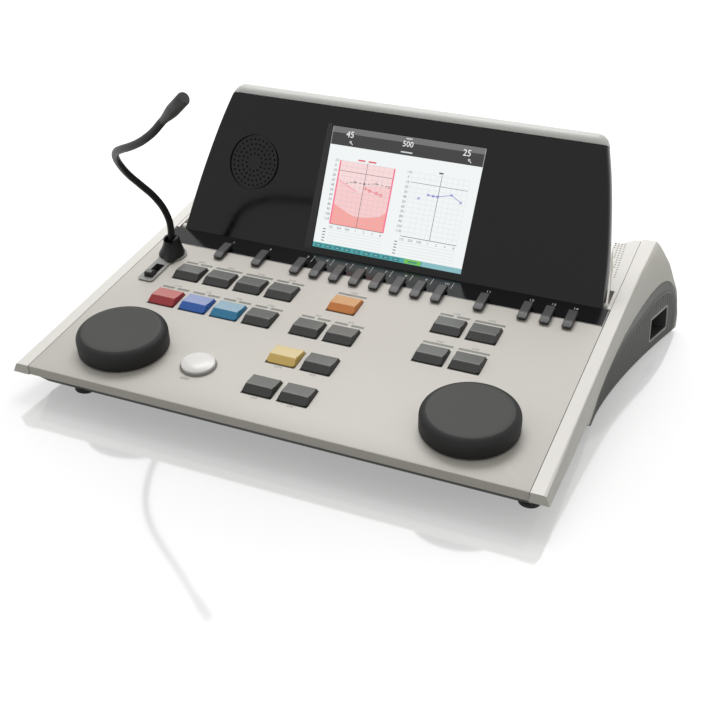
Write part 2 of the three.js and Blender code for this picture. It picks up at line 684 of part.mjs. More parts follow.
const displayHull = (() => {
  const points = [];
  for (let step = 0; step <= edgeSteps; step++) {
    const turn = step / edgeSteps * Math.PI;
    const z = displayHalf * Math.cos(turn), out = Math.sin(turn);
    const sideInset = displaySideRound * (1 - out), top = displayFace + displayHalf * out;
    for (const side of [-1, 1]) {
      const edge = (share) => side * (displayWidth / 2 * sideTaper(share) - sideInset);
      points.push([edge(0), -displayHalf * out, z]);
      for (const [share] of sideTaperShares.slice(0, -1)) points.push([edge(share), displayFace * share, z]);
      for (let k = 0; k <= shoulderSteps; k++) {
        const sweep = k / shoulderSteps * Math.PI / 2;
        points.push([edge(1) + side * displayCorner * (Math.cos(sweep) - 1),
          top + displayCorner * (Math.sin(sweep) - 1), z]);
      }
    }
  }
  return hull(points);
})();
const hingeReach = displayWidth / 2;
const pinBar = (radius, x0, x1) => new THREE.CylinderGeometry(radius, radius, x1 - x0, medium)
  .rotateZ(Math.PI / 2).translate((x0 + x1) / 2, 0, 0);
const pinBores = [pinBar(hingePin + seatGap, -hingeReach - cutOverrun, seatGap + hingePinLength - hingeReach),
  pinBar(hingePin + seatGap, hingeReach - hingePinLength - seatGap, hingeReach + cutOverrun)];
const displayBody = cut(displayHull, ...pinBores);
const bezelBack = displayHalf - bezelDepth;
const wide = displayWidth, tall = displayFace + displayThickness * 2;
const windowCut = (grow, z0, z1) => box(windowX - windowWidth / 2 - grow, windowX + windowWidth / 2 + grow,
  windowFoot - grow, windowFoot + windowHeight + grow, z0, z1);
part('display_bezel', cut(common(displayBody, box(-wide, wide, -tall, tall, bezelBack, tall)),
  windowCut(0, -tall, tall)), 'gloss', displayFrame);
part('display_rear_shell', cut(common(displayBody, box(-wide, wide, -tall, tall, -tall, bezelBack - seatGap)),
  windowCut(seatGap, displayHalf - lcdSink - lcdDepth - seatGap, tall),
  bar(speakerX, speakerY, speakerRadius + seatGap, bezelBack - speakerDepth - seatGap * 2, tall, medium)),
'gloss', displayFrame);
part('lcd_module', windowCut(-seatGap, displayHalf - lcdSink - lcdDepth, displayHalf - lcdSink),
  'screen', displayFrame);
part('loudspeaker', bar(speakerX, speakerY, speakerRadius, bezelBack - speakerDepth - seatGap,
  bezelBack - seatGap, medium), 'dark', displayFrame);

// Rear deck with the recess that takes the folded display
const foldedHalf = (v) => displayWidth / 2 * sideTaper((v - hingeV) / displayFace) + recessGap;
const deckFront = stripEnd - stripRake - seatGap - deckWall;
const deckSteps = [deckStart, (deckStart + deckCorner) / 2, deckCorner];
const hingeSide = innerHalf - deckWall;
const recessOutline = [
  [-hingeSide, deckFront + deckWall], [hingeSide, deckFront + deckWall], [hingeSide, deckStart],
  ...deckSteps.map((v) => [displayShift + foldedHalf(v), v]), [innerHalf - deckWall, deckEnd],
  [innerHalf - deckWall, deckEnd + cutOverrun], [deckWall - innerHalf, deckEnd + cutOverrun],
  [deckWall - innerHalf, deckEnd],
  ...deckSteps.slice().reverse().map((v) => [displayShift - foldedHalf(v), v]),
  [-hingeSide, deckStart]];
const deckUnder = recessDepth + deckWall;
const deckBlank = prismX([[deckFront, -deckUnder], [deckEnd, -deckUnder], [deckEnd, -cheekEdge],
  [deckEnd - cheekEdge, 0], [stripEnd + cheekEdge, 0], [stripEnd + seatGap * 2, -plate - seatGap],
  [deckFront, -plate - seatGap]], -innerHalf, innerHalf);
const hingePins = [
  [-innerHalf + seatGap, displayShift - hingeReach + hingePinLength],
  [displayShift + hingeReach - hingePinLength, innerHalf - seatGap],
].map(([x0, x1]) => pinBar(hingePin, x0, x1).translate(0, hingeV, hingeN));
part('rear_deck', join(cut(deckBlank, prism(recessOutline, -recessDepth, cutOverrun)),
  ...hingePins), 'cheek', panelFrame);

// Control board under the keys, with the two encoders that carry the dials
const boardTop = -keyRoot - boardGap;
const shaftHoles = [leftDialX, rightDialX].map((x) => bar(x, dialV, dialShaft + seatGap,
  boardTop - board - encoderDepth - cutOverrun, boardTop + cutOverrun, medium));
const encoders = [leftDialX, rightDialX].map((x) => bar(x, dialV, encoder,
  boardTop - board - encoderDepth, boardTop, medium));
const boardPlate = box(-boardHalfWidth, boardHalfWidth, boardStart, boardEnd, boardTop - board, boardTop);
part('control_board', cut(join(boardPlate, ...encoders), ...shaftHoles), 'board', panelFrame);

// Base tray in side view, from the slanted front underside to the rear wall
const onSlope = (v, n) => [frontY + v * Math.cos(slope) - n * Math.sin(slope),
  lipTopHeight + v * Math.sin(slope) + n * Math.cos(slope)];
const underPlane = (y, n) => planeHeight(y) + n / Math.cos(slope);
const rimN = -plate - seatGap;
const stepN = -deckUnder - seatGap;
const [stepY, stepZ] = onSlope(deckFront - seatGap, rimN);
const [lowY, lowZ] = onSlope(deckFront - seatGap, stepN);
const trayOutline = [
  [frontY + trayFront + trayProw, trayFoot], [frontY + trayRear, trayFoot],
  [frontY + trayRear, underPlane(trayRear, stepN)], [lowY, lowZ], [stepY, stepZ],
  [frontY + trayFront, underPlane(trayFront, rimN)],
  [frontY + trayFront, lipTopHeight - lipDrop - cheekEdge]];
const trayRoom = [
  [frontY + trayFront + trayProw + trayWall, trayFoot + trayWall],
  [frontY + trayRear - trayWall, trayFoot + trayWall],
  [frontY + trayRear - trayWall, planeHeight(trayRear)],
  [frontY + trayFront + trayWall, planeHeight(trayFront)],
  [frontY + trayFront + trayWall, lipTopHeight - lipDrop]];
const socketMid = [-socketPlateWidth / 2, socketPlateWidth / 2, trayFoot + socketPlateFoot,
  trayFoot + socketPlateFoot + socketPlateHeight];
const trayHalf = innerHalf - seatGap;
const trayShell = cut(prismX(trayOutline, -trayHalf, trayHalf),
  prismX(trayRoom, trayWall - trayHalf, trayHalf - trayWall),
  box(socketMid[0] - seatGap, socketMid[1] + seatGap, frontY + trayRear - trayWall - cutOverrun,
    frontY + trayRear + cutOverrun, socketMid[2] - seatGap, socketMid[3] + seatGap));
const boardUnderside = boardTop - board - seatGap;
const postShares = [[-0.85, 0.14], [0.85, 0.14], [-0.85, 0.9], [0.85, 0.9]];
const posts = postShares.map(([across, along]) => {
  const x = across * boardHalfWidth;
  const [y, top] = onSlope(boardStart + along * (boardEnd - boardStart), boardUnderside);
  return prismX([[y - boardPost, trayFoot + trayWall / 2], [y + boardPost, trayFoot + trayWall / 2],
    [y + boardPost, top + boardPost * Math.tan(slope)], [y - boardPost, top - boardPost * Math.tan(slope)]],
  x - boardPost, x + boardPost);
});
part('base_tray', join(trayShell, ...posts), 'dark', audiometer);

// Feet
const footShape = turned([[0, 0], [footRadius - footChamfer, 0], [footRadius, footChamfer],
  [footRadius, trayFoot - seatGap], [0, trayFoot - seatGap]], medium);
const footRearX = parting - footRearSideInset, footRearY = bodyDepth - footRearInset;
for (const [name, x, y] of [['foot_front_left', footLeftInset - parting, footFrontY],
  ['foot_front_right', parting - footRightInset, footFrontY],
  ['foot_rear_left', -footRearX, footRearY], ['foot_rear_right', footRearX, footRearY]]) {
  part(name, footShape.clone(), 'foot', audiometer).position.set(x, frontY + y, 0);
}

// Rear socket plate: a row of round jacks, a data port and the supply inlet
const socketFace = frontY + trayRear;
const socketZ = (socketMid[2] + socketMid[3]) / 2;
const jackRowStart = -(jackCount + 1) / 2 * jackPitch;
const jackBar = (x, radius) => new THREE.CylinderGeometry(radius, radius, jackDepth + cutOverrun, coarse)
  .translate(x, socketFace - jackDepth / 2 + cutOverrun / 2, socketZ);
const jacks = Array.from({ length: jackCount }, (_, i) => jackBar(jackRowStart + i * jackPitch, jackRadius));
const dataPortX = jackRowStart + jackCount * jackPitch;
const supplyX = dataPortX + jackPitch;
const socketPlate = box(socketMid[0], socketMid[1], socketFace - socketPlateDepth, socketFace,
  socketMid[2], socketMid[3]);
part('socket_plate', cut(socketPlate, ...jacks, jackBar(supplyX, supplyRadius),
  box(dataPortX - portWidth / 2, dataPortX + portWidth / 2, socketFace - jackDepth,
    socketFace + cutOverrun, socketZ - portHeight / 2, socketZ + portHeight / 2)), 'dark', audiometer);

export default audiometer;
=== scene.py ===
# Dresses the desktop audiometer: its finishes, rounded edges, printed and lit details, light and camera.
import json
import math
import bmesh
import bpy
import numpy as np
from mathutils import Matrix, Vector


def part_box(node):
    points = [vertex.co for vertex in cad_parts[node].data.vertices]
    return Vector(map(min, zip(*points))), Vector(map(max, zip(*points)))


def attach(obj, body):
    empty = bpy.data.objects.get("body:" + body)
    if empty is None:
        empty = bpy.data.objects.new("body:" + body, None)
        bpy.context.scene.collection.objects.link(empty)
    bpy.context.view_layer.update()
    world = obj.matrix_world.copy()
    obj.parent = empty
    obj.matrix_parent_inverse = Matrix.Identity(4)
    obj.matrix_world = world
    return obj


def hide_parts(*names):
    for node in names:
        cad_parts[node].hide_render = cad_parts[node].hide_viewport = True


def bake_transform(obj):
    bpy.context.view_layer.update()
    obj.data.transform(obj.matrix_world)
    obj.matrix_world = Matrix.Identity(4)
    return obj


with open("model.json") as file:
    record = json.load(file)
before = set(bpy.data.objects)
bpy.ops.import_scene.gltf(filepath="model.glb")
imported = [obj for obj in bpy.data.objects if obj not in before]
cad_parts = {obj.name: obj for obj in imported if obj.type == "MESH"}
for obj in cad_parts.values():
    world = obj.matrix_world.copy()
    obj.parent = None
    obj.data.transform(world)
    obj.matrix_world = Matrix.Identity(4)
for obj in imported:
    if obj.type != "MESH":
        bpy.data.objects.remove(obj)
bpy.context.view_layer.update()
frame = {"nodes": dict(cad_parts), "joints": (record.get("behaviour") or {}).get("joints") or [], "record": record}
print("frame loaded:", len(frame["nodes"]), "pieces")

mm = 0.001
jointByName = {joint["name"]: joint for joint in frame["joints"]}
bodyOfNode = {node: body for body, nodes in frame["record"]["behaviour"]["bodies"].items() for node in nodes}


# The panel's own axes: X across, Y up the slope, Z square out of it, from its top front edge.
def panelAxes():
    normal = Vector(jointByName["left_dial_turn"]["axis"])
    across = Vector((1, 0, 0))
    upSlope = normal.cross(across)
    onPlane = Vector(jointByName["left_dial_turn"]["pos_m"])
    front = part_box("control_panel")[0].y
    foot = onPlane - upSlope * ((onPlane.y - front) / upSlope.y)
    foot.x = 0
    axes = Matrix((across, upSlope, normal)).transposed().to_4x4()
    axes.translation = foot
    return axes


# The display's axes sit on its hinge: Y up its face, Z out of the face. Folded flat it lies along the panel.
def displayAxes(panel):
    tilt = jointByName["display_tilt"]
    axes = panel.to_3x3() @ Matrix.Rotation(math.radians(-tilt["range_deg"][0]), 3, "X")
    axes = axes.to_4x4()
    axes.translation = Vector(tilt["pos_m"])
    return axes


onPanel = panelAxes()
onDisplay = displayAxes(onPanel)


# A CAD piece's lowest and highest corner in the panel's axes.
def panelBox(node):
    corners = np.array([vertex.co for vertex in frame["nodes"][node].data.vertices], float)
    inverse = np.array(onPanel.inverted())
    local = corners @ inverse[:3, :3].T + inverse[:3, 3]
    return local.min(0), local.max(0)


# Shader maths
class Signal:
    # an output socket of a node tree; maths on it adds Math nodes
    def __init__(self, shading, socket):
        self.shading = shading
        self.socket = socket

    def maths(self, operation, *values):
        return self.shading.node("ShaderNodeMath", {"operation": operation}, dict(enumerate(values)))

    def __add__(self, other):
        return self.maths("ADD", self, other)

    def __sub__(self, other):
        return self.maths("SUBTRACT", self, other)

    def __rsub__(self, other):
        return self.maths("SUBTRACT", other, self)

    def __mul__(self, other):
        return self.maths("MULTIPLY", self, other)

    __radd__ = __add__
    __rmul__ = __mul__


class Shading:
    # a node tree; node() adds a node with its settings and inputs and gives back one output
    def __init__(self, tree):
        self.tree = tree

    def feed(self, socket, value):
        if isinstance(value, Signal):
            self.tree.links.new(value.socket, socket)
        else:
            socket.default_value = value

    def node(self, kind, settings=None, inputs=None, output=0):
        made = self.tree.nodes.new(kind)
        for key, value in (settings or {}).items():
            setattr(made, key, value)
        for key, value in (inputs or {}).items():
            self.feed(made.inputs[key], value)
        return None if output is None else Signal(self, made.outputs[output])

    def noise(self, place, scale, detail):
        return self.node("ShaderNodeTexNoise", inputs={"Vector": place, "Scale": scale, "Detail": detail})

    def blend(self, factor, first, second):
        return self.node("ShaderNodeMix", {"data_type": "RGBA"}, {0: factor, 6: first, 7: second}, output=2)

    def clampedSum(self, first, second):
        return self.node("ShaderNodeMath", {"operation": "ADD", "use_clamp": True}, {0: first, 1: second})

    def shown(self):
        # one to the camera, in mirrors and through glass, nought to light
        seen, mirrored, through = (self.node("ShaderNodeLightPath", output="Is " + ray + " Ray")
                                   for ray in ("Camera", "Glossy", "Transmission"))
        return self.clampedSum(seen, mirrored + through)


class Finish(Shading):
    # one material; what varies over it goes through node(), what is the same all over is set on the shader
    def __init__(self, name, color, roughness, **fixed):
        self.material = bpy.data.materials.new(name)
        self.material.use_nodes = True
        self.material.diffuse_color = (*color, 1)
        super().__init__(self.material.node_tree)
        self.shader = self.tree.nodes["Principled BSDF"]
        self.vary("Base Color", (*color, 1))
        self.vary("Roughness", roughness)
        for socket, value in fixed.items():
            self.vary(socket, value)

    def vary(self, socket, value):
        self.feed(self.shader.inputs[socket], value)

    def place(self):
        return self.node("ShaderNodeTexCoord", output="Object")

    def bump(self, height, distance):
        self.vary("Normal", self.node("ShaderNodeBump", inputs={"Height": height, "Distance": distance}))


def shade(color, factor):
    return (*(channel * factor for channel in color), 1)


grainSettings = {"fine": 1400, "coated": 1500, "fineDetail": 3, "broad": 22, "broadDetail": 2,
                 "depth": 0.00002, "drift": 0.05, "gloss": 0.12, "sideDrift": 0.07, "topDrift": 0.04}


# A moulded or painted surface: fine grain in bump and gloss, and a broad drift of tone.
def moulded(name, color, roughness, grain=grainSettings["fine"], depth=grainSettings["depth"],
            drift=grainSettings["drift"], **fixed):
    finish = Finish(name, color, roughness, **fixed)
    place = finish.place()
    fine = finish.noise(place, grain, grainSettings["fineDetail"])
    broad = finish.noise(place, grainSettings["broad"], grainSettings["broadDetail"])
    gloss = grainSettings["gloss"]
    finish.vary("Base Color", finish.blend(broad, shade(color, 1 - drift), shade(color, 1 + drift)))
    finish.vary("Roughness", fine * gloss + (roughness - gloss / 2))
    finish.bump(fine, depth)
    return finish.material


# A moulding painted paler on its upward faces, a painted top light and sheen, and darker on its sides, a painted
# shade: the lit share follows the normal's tilt from the panel, as a smooth step between two cosines.
def paintedTopLight(name, color, roughness, litTopColor, topRoughness=0.4, turned=(0.955, 0.98), **fixed):
    finish = Finish(name, color, roughness, **fixed)
    fine = finish.noise(finish.place(), grainSettings["coated"], grainSettings["fineDetail"])
    normal = finish.node("ShaderNodeNewGeometry", output="Normal")
    upward = finish.node("ShaderNodeVectorMath", {"operation": "DOT_PRODUCT"},
                         {0: normal, 1: jointByName["left_dial_turn"]["axis"]}, output="Value")
    litTopShare = finish.node("ShaderNodeMapRange", {"interpolation_type": "SMOOTHSTEP"},
                       {"Value": upward, "From Min": turned[0], "From Max": turned[1]})
    side, top = (finish.blend(fine, shade(tone, 1 - drift), shade(tone, 1 + drift)) for tone, drift in (
        (color, grainSettings["sideDrift"]), (litTopColor, grainSettings["topDrift"])))
    gloss = grainSettings["gloss"]
    # painted shade on the sides, painted top light and sheen on the upward faces
    finish.vary("Base Color", finish.blend(litTopShare, side, top))
    finish.vary("Roughness", fine * gloss + litTopShare * (topRoughness - roughness) + (roughness - gloss / 2))
    finish.bump(fine, grainSettings["depth"])
    return finish.material


# The panel, cheek, dial and key finishes are painted paler on top (painted top light and sheen) and darker on
# their sides (painted shade).
finishes = {
    "panel": paintedTopLight("panel", (0.50, 0.485, 0.43), 0.5, (0.60, 0.575, 0.53), 0.45, (0.6, 0.95)),
    "cheek": paintedTopLight("cheek", (0.60, 0.585, 0.53), 0.5, (0.76, 0.74, 0.70), 0.42, (0.6, 0.95)),
    # crest: a light grey band on the display's top edge, a painted highlight for the sheen on its glossy black
    # roll
    "crest": moulded("crest", (0.57, 0.57, 0.555), 0.35, drift=0.02),
    "base": moulded("base", (0.014, 0.014, 0.013), 0.6),
    "grip": moulded("grip", (0.115, 0.12, 0.108), 0.5),
    "grip_frame": moulded("grip_frame", (0.36, 0.37, 0.35), 0.4),
    "gloss_black": moulded("gloss_black", (0.006, 0.006, 0.007), 0.12, grain=300, depth=0.000001,
                           **{"Specular IOR Level": 0.28}),
    "board": moulded("board", (0.02, 0.10, 0.04), 0.4),
    "plate_grey": moulded("plate_grey", (0.29, 0.29, 0.275), 0.4),
    "neck_rubber": moulded("neck_rubber", (0.007, 0.007, 0.007), 0.42, **{"Specular IOR Level": 0.22}),
    "screen": moulded("screen", (0.8, 0.83, 0.83), 0.3),
    "head_black": moulded("head_black", (0.02, 0.02, 0.02), 0.4),
    "dial": paintedTopLight("dial", (0.009, 0.009, 0.009), 0.6, (0.044, 0.046, 0.042), 0.6,
                   **{"Specular IOR Level": 0.35}),
    "key_slim": paintedTopLight("key_slim", (0.014, 0.014, 0.013), 0.45, (0.03, 0.03, 0.029)),
    "key_dark": paintedTopLight("key_dark", (0.013, 0.013, 0.012), 0.45, (0.145, 0.15, 0.14)),
    "tone_white": moulded("tone_white", (0.80, 0.79, 0.77), 0.25),
    "key_red": paintedTopLight("key_red", (0.34, 0.014, 0.02), 0.4, (0.56, 0.18, 0.165)),
    "key_blue": paintedTopLight("key_blue", (0.010, 0.10, 0.42), 0.4, (0.30, 0.36, 0.60)),
    "key_light_blue": paintedTopLight("key_light_blue", (0.014, 0.19, 0.36), 0.4, (0.33, 0.49, 0.60)),
    "key_orange": paintedTopLight("key_orange", (0.62, 0.20, 0.03), 0.4, (0.66, 0.36, 0.15)),
    "key_yellow": paintedTopLight("key_yellow", (0.66, 0.45, 0.12), 0.4, (0.76, 0.63, 0.34)),
    "foot": moulded("foot", (0.01, 0.01, 0.01), 0.7),
    "light_bar": moulded("light_bar", (0.25, 0.26, 0.235), 0.3),
    "ink_grey": moulded("ink_grey", (0.16, 0.16, 0.155), 0.5),
    "ink_white": moulded("ink_white", (0.62, 0.62, 0.60), 0.5),
    "line_dark": moulded("line_dark", (0.05, 0.05, 0.045), 0.6),
    "socket_ring": moulded("socket_ring", (0.55, 0.55, 0.54), 0.3, Metallic=1.0),
}
slotOfNode = {subpart["node"]: subpart["material_slot"] for subpart in frame["record"]["subparts"]}
for node, slot in slotOfNode.items():
    slots = frame["nodes"][node].data.materials
    slots.clear()
    slots.append(finishes[slot])
print("finishes made")


# Mesh making
def gridFaces(rows, columns, wrapRows=False, wrapColumns=False):
    # quads between neighbouring points of a grid; a wrapped side joins its last line to its first
    i = np.arange(rows - (not wrapRows))[:, None]
    j = np.arange(columns - (not wrapColumns))[None, :]
    down, right = (i + 1) % rows, (j + 1) % columns
    quads = np.stack([i * columns + j, i * columns + right, down * columns + right, down * columns + j], -1)
    return quads.reshape(-1, 4).tolist()


def meshOf(name, points, faces):
    mesh = bpy.data.meshes.new(name)
    mesh.from_pydata(np.asarray(points, float).reshape(-1, 3).tolist(), [], faces)
    return mesh


def reworked(mesh, merge, sharpAngle, flat=None):
    # merges doubles, makes flat faces whole or turns all faces outwards, and keeps sharp edges crisp
    work = bmesh.new()
    work.from_mesh(mesh)
    bmesh.ops.remove_doubles(work, verts=work.verts, dist=merge)
    if flat is None:
        bmesh.ops.recalc_face_normals(work, faces=work.faces)
    else:
        bmesh.ops.dissolve_limit(work, angle_limit=math.radians(flat), verts=work.verts, edges=work.edges)
    for face in work.faces:
        face.smooth = True
    for edge in work.edges:
        edge.smooth = edge.calc_face_angle(0) < math.radians(sharpAngle)
    work.to_mesh(mesh)
    work.free()


edgeSettings = {"merge": 1e-7, "segments": 2, "bevelAngle": 35,
                "cadMerge": 1e-6, "cadFlat": 0.8, "cadSharp": 28}
slotFor = {"crest": "cheek", "grip_frame": "grip", "light_bar": "plate_grey", "ink_grey": "plate_grey",
           "ink_white": "tone_white", "socket_ring": "plate_grey", "key_slim": "key_dark"}
slotNames = {material["slot"] for material in frame["record"]["materials"]}


def linked(name, content):
    thing = bpy.data.objects.new(name, content)
    bpy.context.scene.collection.objects.link(thing)
    return thing


# The object of a finished mesh, with its finish, its body and the pieces that it stands for.
def dressed(name, mesh, finish, body, standsFor=(), bevel=0):
    thing = linked(name, mesh)
    mesh.materials.clear()
    mesh.materials.append(finishes[finish])
    if bevel:
        rounding = thing.modifiers.new("rounded edges", "BEVEL")
        rounding.width, rounding.segments = bevel, edgeSettings["segments"]
        rounding.limit_method, rounding.angle_limit = "ANGLE", math.radians(edgeSettings["bevelAngle"])
        rounding.harden_normals = True
    finish if finish in slotNames else slotFor.get(finish, "base")
    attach(thing, body)
    if standsFor:
        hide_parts(*standsFor)


# A piece from a mesh in the given axes.
def placedPiece(name, mesh, finish, body, axes, standsFor=(), sharpAngle=30, bevel=0):
    mesh.transform(axes)
    reworked(mesh, edgeSettings["merge"], sharpAngle)
    dressed(name, mesh, finish, body, standsFor, bevel)


# A piece from points in the given axes, or in the scene's own.
def addPiece(name, points, faces, finish, body, axes=Matrix.Identity(4), standsFor=(), sharpAngle=35):
    turn = np.array(axes)
    points = np.asarray(points, float).reshape(-1, 3) @ turn[:3, :3].T + turn[:3, 3]
    mesh = meshOf(name, points, faces)
    reworked(mesh, edgeSettings["merge"], sharpAngle)
    dressed(name, mesh, finish, body, standsFor)


# A CAD piece with its loose triangles merged, its flat faces made whole and its edges rounded.
def easedCopy(node, bevel):
    mesh = frame["nodes"][node].data.copy()
    reworked(mesh, edgeSettings["cadMerge"], edgeSettings["cadSharp"], edgeSettings["cadFlat"])
    dressed(node + "_eased", mesh, slotOfNode[node], bodyOfNode[node], (node,), bevel)


# A closed skin through rings that all have the same number of points; the ends close on their middles.
def ringSkin(rings):
    rings = np.asarray(rings, float)
    count, around = rings.shape[:2]
    points = np.concatenate([rings.reshape(-1, 3), rings[:1].mean(1), rings[-1:].mean(1)])
    faces = gridFaces(count, around, wrapColumns=True)
    for start, middle in ((0, count * around), ((count - 1) * around, count * around + 1)):
        faces += [(start + k, start + (k + 1) % around, middle) for k in range(around)]
    return points, faces


# Rings of a profile of (radius, height) pairs turned about the Z axis.
def turnedRings(profile, around):
    turn = np.linspace(0, 2 * math.pi, around, endpoint=False)
    profile = np.asarray(profile, float)
    radius, height = profile[:, :1], profile[:, 1:]
    return np.stack([radius * np.cos(turn), radius * np.sin(turn), height + 0 * turn], -1)


# Points on an ellipse's arc: its radii times the cosine and sine of even angles, in degrees.
def arcPoints(centre, radii, start, end, steps):
    turn = np.radians(np.linspace(start, end, steps))
    return np.stack([centre[0] + radii[0] * np.cos(turn), centre[1] + radii[1] * np.sin(turn)], -1)


# Smooth step: three squares less two cubes of the way from low to high.
def fade(value, low, high):
    share = np.clip((value - low) / (high - low), 0, 1)
    return share * share * (3 - 2 * share)


# A rectangle with round corners, the same number of points in each corner.
def roundedOutline(width, height, corners, steps):
    sides = []
    for k, (across, up) in enumerate(((1, 1), (-1, 1), (-1, -1), (1, -1))):
        radius = corners[k]
        centre = (across * (width / 2 - radius), up * (height / 2 - radius))
        sides.append(arcPoints(centre, (radius, radius), 90 * k, 90 * k + 90, steps))
    return np.concatenate(sides)


# Points at even steps along a line, between its own points in proportion, and their lengths from its start.
def evenPoints(line, count, closed=False):
    if closed:
        line = np.concatenate([line, line[:1]])
    along = np.concatenate([[0], np.cumsum(np.linalg.norm(np.diff(line, axis=0), axis=1))])
    steps = np.linspace(0, along[-1], count, endpoint=not closed)
    return np.stack([np.interp(steps, along, line[:, k]) for k in range(line.shape[1])], -1), steps


capSettings = {"blendShare": 0.7, "coreShare": 0.02, "sharp": 50}


# Soft minimum: the lowest less the logarithm of the summed exponentials, of which a share is taken.
def smoothLowest(heights, blend):
    heights = np.stack(heights)
    lowest = heights.min(0)
    return lowest - blend * np.log(np.exp((lowest - heights) / blend).sum(0)) * capSettings["blendShare"]


# A rounded block: rings shrink evenly from the outline to its middle and take their heights from heightAt,
# which knows the place, the width, the depth and the peak. A wall goes down to the root.
def makeCap(node, ending, finish, settings, heightAt, root=None):
    low, high = panelBox(node)
    width, depth = (high - low)[:2]
    corners = (settings["rearCorner"],) * 2 + (settings["corner"],) * 2
    outline = roundedOutline(width, depth, corners, settings["cornerSteps"])
    outline = evenPoints(outline, settings["around"], closed=True)[0]
    middle = outline.mean(0)
    shares = np.linspace(1, capSettings["coreShare"], settings["rings"])
    flat = middle + (outline - middle) * shares[:, None, None]
    top = np.dstack([flat, heightAt(flat[..., 0], flat[..., 1], width, depth, high[2])])
    foot = np.column_stack([outline, np.full(len(outline), low[2] if root is None else root)])
    points, faces = ringSkin(np.concatenate([foot[None], top]))
    points[:, :2] += (low + high)[:2] / 2
    addPiece(node + ending, points, faces, finish, bodyOfNode[node], onPanel, (node,), capSettings["sharp"])


keySettings = {
    "corner": 2.4 * mm, "rearCorner": 1.2 * mm, "ridgeInset": 5.5 * mm, "shoulder": 0.7 * mm,
    "crown": 0.12 * mm, "rear": 2.0 * mm, "sideInset": 0.9 * mm, "edgeBlend": 0.14 * mm,
    "rings": 26, "cornerSteps": 9, "around": 96,
}


# Panel keys: the height is the lowest of four sloping planes that meet at a ridge near the front.
def keyHeight(x, y, width, depth, peak):
    inset, shoulder, rear = (keySettings[part] for part in ("ridgeInset", "shoulder", "rear"))
    ridge, crown = inset - depth / 2, peak + keySettings["crown"]
    steep = (peak - shoulder) / keySettings["sideInset"]
    front = crown + (y - ridge) * (crown - shoulder) / inset
    top = crown - (y - ridge) * (crown - rear) / (depth / 2 - ridge)
    side = shoulder + (width / 2 - np.abs(x)) * steep
    back = shoulder + (depth / 2 - y) * steep
    return smoothLowest([front, top, side, back], keySettings["edgeBlend"])


panelKeys = [node for node in frame["nodes"] if node.startswith("key_")]
for node in panelKeys:
    makeCap(node, "_cap", slotOfNode[node], keySettings, keyHeight)
print("panel keys made")

barSettings = {
    "corner": 1.5 * mm, "rearCorner": 0.8 * mm, "nose": 4.6 * mm, "noseTop": 2.6 * mm, "crown": 0.08 * mm,
    "sideInset": 0.55 * mm, "sideStart": 0.55, "edgeBlend": 0.16 * mm, "underside": 1.2 * mm,
    "rings": 16, "cornerSteps": 7, "around": 72,
}


# Function keys: the height is the lowest of a slanted nose, a flat tail and steep sides.
def barHeight(x, y, width, depth, peak):
    noseTop, under = barSettings["noseTop"], barSettings["underside"]
    front = noseTop + (y + depth / 2) * (peak - noseTop) / barSettings["nose"]
    edge = np.minimum(width / 2 - np.abs(x), depth / 2 - np.abs(y))
    side = under + (peak - under) * (barSettings["sideStart"] + edge / barSettings["sideInset"])
    return smoothLowest([front, np.full_like(x, peak + barSettings["crown"]), side], barSettings["edgeBlend"])


functionKeys = [node for node in frame["nodes"] if node.startswith("function_key_")]
for node in functionKeys:
    makeCap(node, "_bar", "key_slim", barSettings, barHeight, barSettings["underside"])
print("function keys made")

dialSettings = {"shoulderWide": 7.0 * mm, "shoulderHigh": 5.2 * mm, "power": 2.3, "dish": 0.25 * mm,
                "middle": 0.5 * mm, "footRound": 0.9 * mm, "lift": 0.8 * mm, "shaft": 4.0 * mm, "around": 128}


# Dials: turned knobs. The shoulder is a superellipse and the face a shallow dish, deepest in its middle.
def makeDial(node):
    low, high = panelBox(node)
    radius, top = (high - low)[0] / 2, high[2]
    wide, tall, power = dialSettings["shoulderWide"], dialSettings["shoulderHigh"], dialSettings["power"]
    turn = np.linspace(0, math.pi / 2, 18)
    shoulder = np.stack([radius - wide + wide * np.sin(turn) ** (2 / power),
                         top - tall + tall * np.cos(turn) ** (2 / power)], -1)
    out = np.linspace(dialSettings["middle"], radius - wide, 9)
    face = np.stack([out, top - dialSettings["dish"] * (1 - (out / (radius - wide)) ** 2)], -1)
    foot, lift, shaft = (dialSettings[part] for part in ("footRound", "lift", "shaft"))
    under = arcPoints((radius - foot, lift + foot), (foot, foot), 0, -90, 6)
    profile = np.concatenate([face, shoulder[1:], under, [[shaft, lift], [shaft, low[2]]]])
    points, faces = ringSkin(turnedRings(profile, dialSettings["around"]))
    points[:, :2] += (low + high)[:2] / 2
    addPiece(node + "_knob", points, faces, "dial", bodyOfNode[node], onPanel, (node,), 50)


makeDial("left_dial")
makeDial("right_dial")

toneSettings = {"collar": 1.0 * mm, "collarTop": 1.3 * mm, "gap": 0.15 * mm, "edge": 1.0 * mm,
                "edgeDrop": 0.7 * mm, "domeFoot": 2.6 * mm, "domePower": 3.2, "around": 96}


